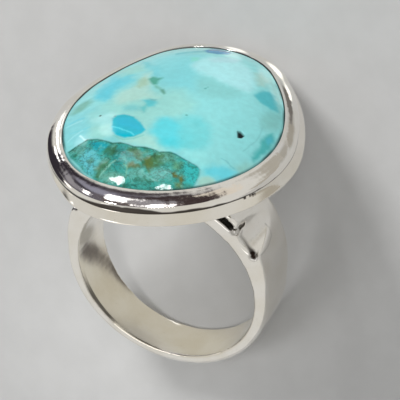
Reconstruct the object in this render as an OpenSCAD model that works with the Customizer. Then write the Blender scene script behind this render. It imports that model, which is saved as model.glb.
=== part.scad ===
// Silver ring with a large freeform turquoise cabochon, lying on its side.
// Modelled upright in ring axes: X across the finger, Y along the finger towards the back, Z up
// through the stone, origin in the middle of the finger hole. lay_down() then turns it to rest.

/* [Finger hole] */
// Radius of the round hole for the finger
finger_r = 9; // [8.5:0.1:9.3]

/* [Shank] */
// Wall of the band at the sides of the finger
band_wall = 1.15; // [0.9:0.05:1.4]
// Width of the band at the bottom of the finger hole
band_w_bottom = 4.6; // [4:0.1:5.2]
// Width of the band at the top of the finger hole
band_w_top = 6.5; // [5.8:0.1:7]
// Radius of the band's softened outer edges
edge_round = 0.55; // [0.3:0.05:0.7]

/* [Shoulders] */
// How far the shoulder sheet's circle stands above the band's circle
shoulder_rise = 1.6; // [1.4:0.1:1.8]
// Thickness of the sheet that forms the shoulders
sheet_t = 0.45; // [0.4:0.05:0.6]
// Angle above the horizontal where sheet and band part and the slot opens
slot_angle = 46; // [44:1:48]
// Angle above the horizontal where the sheet turns up towards the head
neck_angle = 52; // [50:1:54]
// Radius of the hollow curve below the head
neck_round = 2.6; // [2.4:0.1:2.8]

/* [Scallops] */
// Angle above the horizontal of the leaf-shaped hollow in each front shoulder
scallop_angle = 39; // [37:1:41]
// Radius of the round hollow
scallop_r = 2.6; // [2.2:0.1:3]
// How far the hollow runs back from the front edge
scallop_run = 4.2; // [3:0.1:4.2]

/* [Solder] */
// Radius of the small solder bead at the lower end of the front right slot
bead_r = 0.4; // [0.3:0.05:0.45]
// Radius of the small pit at the foot of the front right hollow
pit_r = 0.28; // [0.2:0.02:0.3]

/* [Head] */
// Height of the head's underside above the finger axis
head_z = 14.5; // [14.3:0.05:14.6]
// Thickness of the plate under the stone
plate_t = 0.8; // [0.7:0.05:0.9]
// Height of the flared skirt at the foot of the bezel
skirt_h = 0.85; // [0.8:0.05:0.9]
// How far the skirt's foot stands out from the bezel
skirt_out = 0.45; // [0.4:0.05:0.5]
// How much further it stands out towards the front right than towards the back left
skirt_lean = 0.25; // [0.1:0.05:0.3]
// Radius of the bezel's rolled outer edge
roll_r = 0.6; // [0.5:0.05:0.65]
// Rise of the bezel's broad crown above the rolled edge
crown_rise = 0.35; // [0.3:0.05:0.4]

/* [Stone] */
// Height of the dome's flat crown above the bezel
dome_h = 1.5; // [1.2:0.1:1.8]
// How far the dome's curve runs in from the stone's visible edge
dome_run = 6.4; // [6:0.1:6.6]
// How far the stone's girdle is tucked under the bezel's lip
girdle_tuck = 0.3; // [0.2:0.05:0.4]
// Clear space between stone and metal
stone_gap = 0.06; // [0.05:0.01:0.1]

/* [Resting place] */
// Turn that lays the upright ring back on its side
rest_turn = [-62.87, 2.86, 0]; // [-90:0.01:90]
// Shift that sets the lying ring on the floor, centred on the origin
rest_shift = [-0.97, -5.43, 6.43]; // [-40:0.01:40]

/* [Hidden] */
$fn = 128;

// A closed chain of tangent arcs: the centre of the first arc in the plane of the head, then for
// each arc the direction of its first radius in degrees and its radius. The last two radii
// follow from closing the chain.
CHAIN_CENTRE = 0;
CHAIN_ARCS = 1;
ARC_START = 0;
ARC_R = 1;
stone_edge = [[-0.9, -1], [[-90, 10.85], [13, 21], [41.4, 7.1], [151.3, 25], [169], [221]]];
bezel_edge = [[-1.05, -1.7], [[-77.4, 12.55], [13.7, 26], [38.7, 8.15], [151.8, 33], [165.5], [233]]];

arc_count = 6;
solved_a = arc_count - 2;
solved_b = arc_count - 1;
full_turn = 360;
stone_start = 90;

band_r = finger_r + band_wall;
band_lift = 0.15;
shoulder_z = band_lift + shoulder_rise;
taper = atan((band_w_top - band_w_bottom) / (4 * finger_r));
half_w_mid = (band_w_top + band_w_bottom) / 4;
round_clear = 0.07;
round_top_z = 9.2;
bead_turn = slot_angle + 1;
front_y = -half_w_mid - 0.25;
bead_place = [(band_r + bead_r) * cos(bead_turn), front_y, band_lift + (band_r + bead_r) * sin(bead_turn)];
pit_place = [8.93, front_y, 5.48];
neck_x = (band_r + neck_round) * cos(neck_angle);
neck_z = shoulder_z + (band_r + neck_round) * sin(neck_angle);
lean_angle = -45;
line_z = head_z + skirt_h;
line_in = 0.04;
roll_end = 50;
roll_z = line_z + 0.05;
roll_from = -10;
roll_top_z = roll_z + roll_r * sin(roll_end);
roll_in = roll_r * (1 - cos(roll_end));
crest_z = roll_top_z + crown_rise;
foot_edge = 0.1;
lip_fall = 0.06;
lip_edge = 0.1;
seat_z = head_z + plate_t;
girdle_z = crest_z - 0.45;
bore_len = 12;
round_step = 3;
roll_steps = 5;
crown_steps = 5;
dome_steps = 9;
slab = 40;

function unit(a) = [cos(a), sin(a)];
function arc_from(c, i) = c[CHAIN_ARCS][i % arc_count][ARC_START] + (i >= arc_count ? full_turn : 0);
function chord(c, i) = unit(arc_from(c, i + 1)) - unit(arc_from(c, i));
function chord_sum(c, i = 0) =
    i == solved_a ? [0, 0] : c[CHAIN_ARCS][i][ARC_R] * chord(c, i) + chord_sum(c, i + 1);
function cross2(a, b) = a[0] * b[1] - a[1] * b[0];
function closing(c) = cross2(chord(c, solved_a), chord(c, solved_b));
function arc_r(c, i) =
    i == solved_a ? cross2(chord(c, solved_b), chord_sum(c)) / closing(c) :
    i == solved_b ? cross2(chord_sum(c), chord(c, solved_a)) / closing(c) :
    c[CHAIN_ARCS][i][ARC_R];
function arc_centre(c, i) = i == 0 ? c[CHAIN_CENTRE] :
    arc_centre(c, i - 1) + (arc_r(c, i - 1) - arc_r(c, i)) * unit(arc_from(c, i));

// Point of the chain c whose outward normal has the angle a, moved out and up to z
function arc_at(c, a, i = 0) = i == arc_count - 1 || a < arc_from(c, i + 1) ? i : arc_at(c, a, i + 1);
function edge_point(c, a, out, z) =
    let(i = arc_at(c, a), p = arc_centre(c, i) + (arc_r(c, i) + out) * unit(a)) [p[0], p[1], z];
function from_start(c, a) = a < arc_from(c, 0) ? a + full_turn : a;

// Normal directions at which the head and the stone take a section
turns = [for (a = [-stone_start : round_step : full_turn - stone_start - round_step]) a];

// A ring of points round the chain c for a profile point [out, z]
function ring(c, p) = [for (a = turns) edge_point(c, from_start(c, a), p[0], p[1])];

// A closed skin through rings of points, from a flat first ring to a flat last ring
module skin(rings) {
    n = len(turns);
    last = len(rings) - 1;
    polyhedron(
        points = [for (r = rings) each r],
        faces = concat(
            [[for (k = [0 : n - 1]) k]],
            [for (j = [0 : last - 1]) for (k = [0 : n - 1])
                let(a = j * n + k, b = j * n + (k + 1) % n) each [[a, a + n, b], [b, a + n, b + n]]],
            [[for (k = [n - 1 : -1 : 0]) last * n + k]]));
}

// Stands a flat X-Z shape up and gives it depth along Y
module upright(depth) {
    rotate([90, 0, 0]) linear_extrude(depth, center = true) children();
}

module place_mirrored() {
    children();
    mirror([1, 0]) children();
}

// Front view of the shank drawn in by inset: band circle, sides, shoulder circle and neck
module shank_front(inset) {
    translate([0, band_lift]) circle(band_r - inset);
    translate([inset - band_r, band_lift]) square([2 * (band_r - inset), shoulder_rise]);
    shoulder_front(inset);
}

module shoulder_front(inset) {
    translate([0, shoulder_z]) circle(band_r - inset);
    difference() {
        polygon([[0, shoulder_z], [neck_x, neck_z], [neck_x, head_z + plate_t / 2],
            [-neck_x, head_z + plate_t / 2], [-neck_x, neck_z]]);
        place_mirrored() translate([neck_x, neck_z]) circle(neck_round + inset);
    }
}

// The space between band and sheet, open above the slot's lower ends
module slot_front() {
    intersection() {
        difference() {
            shoulder_front(sheet_t);
            translate([0, band_lift]) circle(band_r);
        }
        polygon([[0, 0], slab * unit(slot_angle), [0, slab * 2], slab * unit(180 - slot_angle)]);
    }
}

// Section of one side of the shank: flat face, rounded outer edge, then clear of the band
module face_section(depth) {
    outer = band_r + round_clear;
    flat = outer - edge_round;
    square([flat, depth]);
    translate([flat, edge_round]) circle(edge_round);
    polygon([[flat, edge_round], [outer, edge_round],
        [outer + depth * tan(2 * taper), depth], [flat, depth]]);
}

// Everything behind the rounded front face of the tapering shank
module behind_face() {
    depth = band_w_top;
    translate([0, -half_w_mid, 0]) rotate([taper, 0, 0]) {
        for (z = [band_lift, shoulder_z])
            translate([0, 0, z]) rotate([-90, 0, 0]) rotate_extrude() face_section(depth);
        translate([0, 0, band_lift]) linear_extrude(shoulder_rise) {
            face_section(depth);
            mirror([1, 0]) face_section(depth);
        }
        translate([-slab / 2, 0, round_top_z]) cube([slab, depth, slab / 2]);
    }
}

module shank_blank() {
    intersection() {
        upright(2 * band_w_top) shank_front(0);
        behind_face();
        mirror([0, 1, 0]) behind_face();
    }
}

// Leaf-shaped hollow that runs in from the front edge of a shoulder down to the band
module scallop() {
    seam_r = band_r + band_lift * sin(scallop_angle);
    sheet_r = band_r + shoulder_z * sin(scallop_angle);
    slope = atan((sheet_r - seam_r) / scallop_run);
    rotate([0, -scallop_angle, 0])
        translate([seam_r + scallop_r, -half_w_mid, 0])
        rotate([0, 0, -slope])
        rotate([-90, 0, 0])
        cylinder(h = 2 * scallop_run, r = scallop_r, center = true);
}

module shank() {
    difference() {
        shank_blank();
        upright(2 * band_w_top) slot_front();
        scallop();
        mirror([1, 0, 0]) scallop();
        translate(pit_place) sphere(pit_r);
    }
    translate(bead_place) sphere(bead_r);
}

// Reach of the skirt's foot in the direction a
function foot_out(a, out) = out + skirt_lean * cos(a - lean_angle);
function foot_ring(out, z) = [for (a = turns)
    edge_point(bezel_edge, from_start(bezel_edge, a), foot_out(a, out), z)];

// Outer profile of the bezel: rolled edge, then the crown as shares of its width and rise
roll_profile = [for (k = [0 : roll_steps]) let(a = roll_from + (roll_end - roll_from) * k / roll_steps)
    [roll_r * (cos(a) - 1), roll_z + roll_r * sin(a)]];
crown_profile = [for (k = [1 : crown_steps]) let(a = roll_end + (90 - roll_end) * k / crown_steps)
    [1 - cos(a) / cos(roll_end), (sin(a) - sin(roll_end)) / (1 - sin(roll_end))]];

// Ring of points on the crown: s runs from the rolled edge in to the lip
function crown_ring(s, z) = [for (a = turns)
    (1 - s) * edge_point(bezel_edge, from_start(bezel_edge, a), -roll_in, z)
    + s * edge_point(stone_edge, from_start(stone_edge, a), lip_edge, z)];

// Plate, flared skirt, bezel and lip in one skin, with the open room for the stone
module head_shell() {
    skin(concat(
        [foot_ring(skirt_out - foot_edge, head_z), foot_ring(skirt_out, head_z + foot_edge),
            ring(bezel_edge, [-line_in, line_z])],
        [for (p = roll_profile) ring(bezel_edge, p)],
        [for (p = crown_profile) crown_ring(p[0], roll_top_z + crown_rise * p[1])],
        [for (p = [[0, crest_z - lip_fall], [0, girdle_z],
            [girdle_tuck + stone_gap, girdle_z], [girdle_tuck + stone_gap, seat_z]])
            ring(stone_edge, p)]));
}

// The stone: girdle under the lip, then a dome that eases into its flat crown
module dome() {
    edge = -stone_gap;
    crown_z = crest_z + dome_h;
    rise = dome_h + lip_fall;
    run = dome_run + edge;
    arc = (run * run + rise * rise) / (2 * rise);
    step = asin(run / arc) / dome_steps;
    base_z = seat_z + stone_gap;
    skin([for (p = concat(
        [[girdle_tuck, base_z], [girdle_tuck, girdle_z - stone_gap], [edge, girdle_z - stone_gap]],
        [for (k = [dome_steps : -1 : 0])
            [-dome_run + arc * sin(k * step), crown_z - arc * (1 - cos(k * step))]]))
        ring(stone_edge, p)]);
}

module lay_down() {
    translate(rest_shift) rotate(rest_turn) children();
}

module silver_mount() {
    color([0.83, 0.81, 0.78]) lay_down() difference() {
        union() {
            shank();
            head_shell();
        }
        rotate([90, 0, 0]) cylinder(h = bore_len, r = finger_r, center = true);
    }
}

module turquoise_cabochon() {
    color([0.52, 0.86, 0.85]) lay_down() dome();
}

silver_mount();
turquoise_cabochon();
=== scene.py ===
"""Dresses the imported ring: a worn silver mount, its freeform turquoise and a small studio round them."""

import logging
import math
from dataclasses import dataclass, field
from enum import Enum
from typing import Sequence

import bmesh
import bpy
import numpy as np
from mathutils import Matrix, Vector


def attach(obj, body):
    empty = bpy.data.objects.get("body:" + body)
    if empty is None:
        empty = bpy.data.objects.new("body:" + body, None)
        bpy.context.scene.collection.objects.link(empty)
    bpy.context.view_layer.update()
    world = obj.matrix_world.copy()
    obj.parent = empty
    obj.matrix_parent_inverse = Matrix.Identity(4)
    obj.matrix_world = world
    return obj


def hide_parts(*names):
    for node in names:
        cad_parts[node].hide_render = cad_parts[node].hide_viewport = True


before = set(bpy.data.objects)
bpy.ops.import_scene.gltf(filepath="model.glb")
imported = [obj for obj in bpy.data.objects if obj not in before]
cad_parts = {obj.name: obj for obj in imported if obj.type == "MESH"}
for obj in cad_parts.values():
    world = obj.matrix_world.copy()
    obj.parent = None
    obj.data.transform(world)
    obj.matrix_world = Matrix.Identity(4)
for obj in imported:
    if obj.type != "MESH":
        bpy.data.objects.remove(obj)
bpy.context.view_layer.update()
LOG = logging.getLogger("turquoise_ring")
MM = 0.001
FULL_TURN = 360.0
PHOTO_WIDTH = 400
SENSOR_MM = 36.0
BLACK = (0.0, 0.0, 0.0, 1.0)

Array = np.ndarray
Pair = tuple[float, float]
Triple = tuple[float, float, float]
Quad = tuple[float, float, float, float]
Socket = bpy.types.NodeSocket
Node = bpy.types.Node
NodeTree = bpy.types.NodeTree
Mesh = bpy.types.Mesh


# places and outlines


def unit(degrees: float) -> Array:
    """Returns the flat unit vector at that angle."""
    return np.array([math.cos(math.radians(degrees)), math.sin(math.radians(degrees))])


def angle_between(turns: Array, middle: float) -> Array:
    """Returns how far each direction is from a middle one, in degrees."""
    return np.abs((turns - middle + FULL_TURN / 2) % FULL_TURN - FULL_TURN / 2)


def cross2(a: Array, b: Array) -> float:
    """Returns the flat cross product of two vectors."""
    return float(a[0] * b[1] - a[1] * b[0])


def smoothstep(low: float, high: float, value: Array) -> Array:
    """Eases from 0 at low to 1 at high.

    Args:
        low: Value where the step starts.
        high: Value where the step ends.
        value: Values to ease.

    Returns:
        The eased values, between 0 and 1.
    """
    t = np.clip((value - low) / (high - low), 0.0, 1.0)
    return t * t * (3.0 - 2.0 * t)


@dataclass(frozen=True)
class RestingPlace:
    """Turn and shift that lay the upright ring on its side, as in the solid model."""

    turn_x: float = -62.87
    turn_y: float = 2.86
    shift: Triple = (-0.97, -5.43, 6.43)

    def turn(self) -> Array:
        """Returns the rotation from ring axes to the frame."""
        return np.array(Matrix.Rotation(math.radians(self.turn_y), 3, "Y")
                        @ Matrix.Rotation(math.radians(self.turn_x), 3, "X"))

    def lay(self, points: Array) -> Array:
        """Moves points in ring axes and millimetres into the frame, in metres."""
        return (points @ self.turn().T + np.array(self.shift)) * MM

    def stand(self, points: Array) -> Array:
        """Moves points of the frame back into ring axes, in millimetres."""
        return (points / MM - np.array(self.shift)) @ self.turn()


@dataclass(frozen=True)
class ArcChain:
    """A closed outline of tangent arcs in the plane of the head.

    Each arc has the direction of its first radius and its radius. The last two radii follow from
    closing the chain.
    """

    centre: Pair
    starts: tuple[float, ...]
    radii: tuple[float, ...]
    fine_steps: int = 7200

    def solved(self) -> tuple[list[float], list[Array]]:
        """Closes the chain.

        Returns:
            The radius and the centre of each arc.
        """
        count = len(self.starts)
        ends = self.starts[1:] + (self.starts[0] + FULL_TURN,)
        chords = [unit(b) - unit(a) for a, b in zip(self.starts, ends)]
        total = sum(r * c for r, c in zip(self.radii, chords))
        closing = cross2(chords[-2], chords[-1])
        radii = list(self.radii) + [cross2(chords[-1], total) / closing, cross2(total, chords[-2]) / closing]
        centres = [np.array(self.centre)]
        for k in range(1, count):
            centres.append(centres[-1] + (radii[k - 1] - radii[k]) * unit(self.starts[k]))
        return radii, centres

    def edge(self, turns: Array, out: Array | float = 0.0) -> Array:
        """Points of the outline by the direction of its outward normal.

        Args:
            turns: Normal directions in degrees.
            out: How far outside the outline the points stand.

        Returns:
            An array of flat points.
        """
        radii, centres = self.solved()
        turns = self.starts[0] + np.mod(turns - self.starts[0], FULL_TURN)
        which = np.searchsorted(np.array(self.starts), turns, side="right") - 1
        angle = np.radians(turns)
        normal = np.stack([np.cos(angle), np.sin(angle)], 1)
        reach = np.array(radii)[which] + out
        return np.array(centres)[which] + reach[:, None] * normal

    def even_turns(self, count: int) -> Array:
        """Normal directions at equal steps along the outline.

        Args:
            count: How many directions.

        Returns:
            Their angles in degrees.
        """
        fine = self.starts[0] + np.linspace(0.0, FULL_TURN, self.fine_steps + 1)
        points = self.edge(fine[:-1])
        steps = np.linalg.norm(np.diff(np.vstack([points, points[:1]]), axis=0), axis=1)
        length = np.concatenate([[0.0], np.cumsum(steps)])
        return np.interp(np.linspace(0.0, length[-1], count, endpoint=False), length, fine)


STONE_EDGE = ArcChain((-0.9, -1.0), (-90.0, 13.0, 41.4, 151.3, 169.0, 221.0), (10.85, 21.0, 7.1, 25.0))
BEZEL_EDGE = ArcChain((-1.05, -1.7), (-77.4, 13.7, 38.7, 151.8, 165.5, 233.0), (12.55, 26.0, 8.15, 33.0))


@dataclass(frozen=True)
class HeadSizes:
    """Heights and offsets that the head and the stone share, in millimetres and ring axes."""

    finger_r: float = 9.0
    head_z: float = 14.5
    plate_t: float = 0.8
    skirt_h: float = 0.85
    skirt_out: float = 0.45
    skirt_lean: float = 0.25
    lean_angle: float = -45.0
    roll_r: float = 0.6
    roll_lift: float = 0.05
    roll_from: float = -10.0
    roll_end: float = 50.0
    crown_rise: float = 0.35
    lip_edge: float = 0.1
    lip_fall: float = 0.06
    dome_h: float = 1.5
    dome_run: float = 6.4
    girdle_drop: float = 0.45
    girdle_tuck: float = 0.3
    stone_gap: float = 0.06

    @property
    def line_z(self) -> float:
        """Height of the line between skirt and rolled edge."""
        return self.head_z + self.skirt_h

    @property
    def roll_z(self) -> float:
        """Height of the middle of the rolled edge."""
        return self.line_z + self.roll_lift

    @property
    def roll_top_z(self) -> float:
        """Height where the rolled edge passes into the crown."""
        return self.roll_z + self.roll_r * math.sin(math.radians(self.roll_end))

    @property
    def roll_in(self) -> float:
        """How far the rolled edge has come in where the crown starts."""
        return self.roll_r * (1.0 - math.cos(math.radians(self.roll_end)))

    @property
    def crest_z(self) -> float:
        """Height of the bezel's lip."""
        return self.roll_top_z + self.crown_rise

    @property
    def seat_z(self) -> float:
        """Height of the plate's upper face."""
        return self.head_z + self.plate_t

    @property
    def girdle_z(self) -> float:
        """Height of the stone's girdle under the lip."""
        return self.crest_z - self.girdle_drop

    def arc_height(self, depth: Array) -> Array:
        """Height of the stone's plain arched face, without the slight crown of its middle.

        Args:
            depth: Distances in from the outline of the stone.

        Returns:
            Heights above the finger's axis.
        """
        run, rise = self.dome_run - self.stone_gap, self.dome_h + self.lip_fall
        arc = (run * run + rise * rise) / (2.0 * rise)
        reach = np.clip(self.dome_run - depth, 0.0, run)
        return self.crest_z + self.dome_h - (arc - np.sqrt(arc * arc - reach * reach))


# noise and distances


AXIS_MIX = (374761393, 668265263, 2147483647)
SEED_MIX = 1274126177
LOW_32_BITS = 0xFFFFFFFF
LOW_16_BITS = 0xFFFF


def lattice(cells: Array, seed: int) -> Array:
    """Gives each whole-numbered cell its own fixed value between 0 and 1.

    Args:
        cells: Whole numbers, one row for each cell.
        seed: Number that picks one field of values.

    Returns:
        One value for each row.
    """
    mixed = (cells * np.array(AXIS_MIX[:cells.shape[1]])).sum(1)
    mixed = (mixed + seed * SEED_MIX) & LOW_32_BITS
    mixed = ((mixed ^ (mixed >> 13)) * SEED_MIX) & LOW_32_BITS
    return ((mixed ^ (mixed >> 16)) & LOW_16_BITS) / LOW_16_BITS


def smooth_noise(points: Array, cell: float, seed: int) -> Array:
    """Smooth noise on a lattice.

    Args:
        points: Flat or spatial points.
        cell: Size of a lattice cell.
        seed: Number that picks the field.

    Returns:
        Values between -1 and 1.
    """
    place = points / cell
    base = np.floor(place).astype(np.int64)
    share = place - base
    share = share * share * (3.0 - 2.0 * share)
    total = np.zeros(len(points))
    for corner in np.ndindex(*(2,) * points.shape[1]):
        step = np.array(corner)
        weight = np.prod(np.where(step == 1, share, 1.0 - share), axis=1)
        total += weight * lattice(base + step, seed)
    return total * 2.0 - 1.0


def cloud(points: Array, cell: float, seed: int, layers: int = 3) -> Array:
    """Layers of smooth noise, each finer and fainter than the last.

    Args:
        points: Flat or spatial points.
        cell: Cell size of the coarsest layer.
        seed: Number that picks the field.
        layers: How many layers.

    Returns:
        Values between -1 and 1.
    """
    fade, seed_step = 0.55, 17
    total = np.zeros(len(points))
    for k in range(layers):
        total += fade ** k * smooth_noise(points, cell / 2 ** k, seed + seed_step * k)
    return total / sum(fade ** k for k in range(layers))


def segment_distance(points: Array, start: Sequence[float], end: Sequence[float]) -> Array:
    """Distance of flat points from one straight segment.

    Args:
        points: Flat points.
        start: One end of the segment.
        end: The other end.

    Returns:
        One distance for each point.
    """
    a = np.array(start, float)
    along = np.array(end, float) - a
    t = np.clip(((points - a) @ along) / (along @ along), 0.0, 1.0)
    return np.linalg.norm(points - a - t[:, None] * along, axis=1)


def path_distance(points: Array, path: Sequence[Sequence[float]], closed: bool = False) -> Array:
    """Distance of flat points from a path of straight segments.

    Args:
        points: Flat points.
        path: Corners of the path.
        closed: Whether the last corner joins the first.

    Returns:
        One distance for each point.
    """
    ends = list(path[1:]) + ([path[0]] if closed else [])
    best = np.full(len(points), np.inf)
    for start, end in zip(path, ends):
        best = np.minimum(best, segment_distance(points, start, end))
    return best


def depth_inside(points: Array, outline: Sequence[Sequence[float]]) -> Array:
    """How deep flat points lie inside an outline, below 0 outside it.

    Args:
        points: Flat points.
        outline: Corners of the outline.

    Returns:
        One signed depth for each point.
    """
    inside = np.zeros(len(points), bool)
    for (x0, y0), (x1, y1) in zip(outline, list(outline[1:]) + [outline[0]]):
        if y0 != y1:
            spans = (y0 > points[:, 1]) != (y1 > points[:, 1])
            inside ^= spans & (points[:, 0] < (x1 - x0) * (points[:, 1] - y0) / (y1 - y0) + x0)
    reach = path_distance(points, outline, closed=True)
    return np.where(inside, reach, -reach)


# the photo's camera


@dataclass(frozen=True)
class PhotoCamera:
    """The photograph's camera, by its angles about the ring's own axes.

    Angles are in degrees, lengths in millimetres and the focal length in pixels of the photograph.
    """

    azimuth: float = 23.94
    elevation: float = 34.74
    shift_x: float = -2.17
    shift_y: float = -6.01
    distance: float = 188.09
    focal_px: float = 2000.0
    near_m: float = 0.005
    far_m: float = 10.0
    search_steps: int = 12

    def axes(self) -> Array:
        """Directions to the camera's right, up and back, in ring axes.

        Returns:
            The three unit vectors as columns.
        """
        az, el = math.radians(self.azimuth), math.radians(self.elevation)
        back = np.array([math.sin(az) * math.cos(el), -math.cos(az) * math.cos(el), math.sin(el)])
        right = np.array([math.cos(az), math.sin(az), 0.0])
        return np.column_stack([right, np.cross(back, right), back])

    def centre(self) -> Array:
        """Returns the camera's place in ring axes."""
        return self.axes() @ np.array([-self.shift_x, -self.shift_y, self.distance])

    def face_places(self, pixels: Sequence[Pair], sizes: HeadSizes) -> list[list[float]]:
        """Finds where pixels of the photograph fall on the stone's face.

        Args:
            pixels: Places in the photograph, from its upper left corner.
            sizes: Sizes of the head and the stone.

        Returns:
            Flat places on the face, to a tenth of a millimetre.
        """
        spots, middle, centre = np.array(pixels, float), PHOTO_WIDTH / 2, self.centre()
        across, down = (spots[:, 0] - middle) / self.focal_px, (spots[:, 1] - middle) / self.focal_px
        rays = np.column_stack([across, -down, -np.ones(len(spots))]) @ self.axes().T
        outline = STONE_EDGE.edge(np.arange(0.0, FULL_TURN, 1.5) - 90.0)
        height = np.full(len(spots), sizes.crest_z)
        for _ in range(self.search_steps):
            places = centre + ((height - centre[2]) / rays[:, 2])[:, None] * rays
            height = sizes.arc_height(depth_inside(places[:, :2], outline))
        return np.round(places[:, :2], 1).tolist()

    def face_paths(self, paths: Sequence[Sequence[Pair]], sizes: HeadSizes) -> list[list[list[float]]]:
        """Finds where several paths of pixels fall on the stone's face, all at once.

        Args:
            paths: Paths in the photograph.
            sizes: Sizes of the head and the stone.

        Returns:
            The same paths on the face.
        """
        places = self.face_places([spot for path in paths for spot in path], sizes)
        ends = np.cumsum([len(path) for path in paths])
        return [places[end - len(path):end] for path, end in zip(paths, ends)]

    def build(self, place: RestingPlace) -> bpy.types.Object:
        """Places the camera.

        Args:
            place: How the ring lies.

        Returns:
            The camera.
        """
        data = bpy.data.cameras.new("photo_camera")
        data.sensor_width = SENSOR_MM
        data.lens = self.focal_px / PHOTO_WIDTH * SENSOR_MM
        data.clip_start, data.clip_end = self.near_m, self.far_m
        camera = bpy.data.objects.new("photo_camera", data)
        bpy.context.scene.collection.objects.link(camera)
        matrix = Matrix((place.turn() @ self.axes()).tolist()).to_4x4()
        matrix.translation = place.lay(self.centre()[None, :])[0].tolist()
        camera.matrix_world = matrix
        bpy.context.scene.camera = camera
        return camera


# meshes


def skin_mesh(name: str, rings: Array, closed_ends: bool = True) -> Mesh:
    """Skins a stack of rings of points.

    Args:
        name: Name of the mesh.
        rings: Array of rings, points and coordinates.
        closed_ends: Whether the first and last ring are filled.

    Returns:
        The mesh, with its normals outward.
    """
    levels, count = rings.shape[:2]
    j, k = np.meshgrid(np.arange(levels - 1), np.arange(count), indexing="ij")
    a = (j * count + k).ravel()
    b = (j * count + (k + 1) % count).ravel()
    quads = np.stack([a, b, b + count, a + count], 1)
    faces = quads.tolist()
    if closed_ends:
        faces.append(list(range(count))[::-1])
        faces.append([(levels - 1) * count + k for k in range(count)])
    mesh = bpy.data.meshes.new(name)
    mesh.from_pydata(rings.reshape(-1, 3).tolist(), [], faces)
    work = bmesh.new()
    work.from_mesh(mesh)
    bmesh.ops.recalc_face_normals(work, faces=work.faces)
    work.to_mesh(mesh)
    work.free()
    mesh.polygons.foreach_set("use_smooth", np.ones(len(mesh.polygons), bool))
    return mesh


def mesh_points(mesh: Mesh) -> Array:
    """Reads the vertices of a mesh.

    Args:
        mesh: The mesh.

    Returns:
        One row for each vertex.
    """
    points = np.zeros(len(mesh.vertices) * 3)
    mesh.vertices.foreach_get("co", points)
    return points.reshape(-1, 3)


def mesh_normals(mesh: Mesh) -> Array:
    """Reads the vertex normals of a mesh.

    Args:
        mesh: The mesh.

    Returns:
        One row for each vertex.
    """
    normals = np.zeros(len(mesh.vertices) * 3)
    mesh.vertex_normals.foreach_get("vector", normals)
    return normals.reshape(-1, 3)


def set_points(mesh: Mesh, points: Array) -> None:
    """Moves the vertices of a mesh to new points."""
    mesh.vertices.foreach_set("co", points.ravel())
    mesh.update()


def add_piece(name: str, mesh: Mesh, material: bpy.types.Material, node: str) -> bpy.types.Object:
    """Puts a finished mesh into the scene in place of a solid.

    Args:
        name: Name of the piece.
        mesh: Its mesh, in the frame and in metres.
        material: Its finish.
        node: The solid that it stands for.

    Returns:
        The new object.
    """
    piece = bpy.data.objects.new(name, mesh)
    bpy.context.scene.collection.objects.link(piece)
    mesh.materials.append(material)
    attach(piece, "root")
    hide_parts(node)
    LOG.info("%s: %d faces", name, len(mesh.polygons))
    return piece


# the stone's pattern, whose places are pixels of the photo


@dataclass(frozen=True)
class Patch:
    """A soft-edged patch of colour on the stone's face.

    Its edge is blurred over `soft` and made uneven by `ragged`, both in millimetres on the stone.
    The corners of its outline are pixels of the photo.
    """

    name: str
    colour: str
    soft: float
    ragged: float
    strength: float
    outline: tuple[Pair, ...]


@dataclass(frozen=True)
class Thread:
    """A fine line of colour, `width` millimetres broad, along a path of pixels of the photo."""

    name: str
    colour: str
    width: float
    strength: float
    path: tuple[Pair, ...]


@dataclass(frozen=True)
class Spot:
    """A small round mark, `radius` in millimetres and its centre a pixel of the photo."""

    name: str
    colour: str
    radius: float
    strength: float
    centre: Pair


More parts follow.
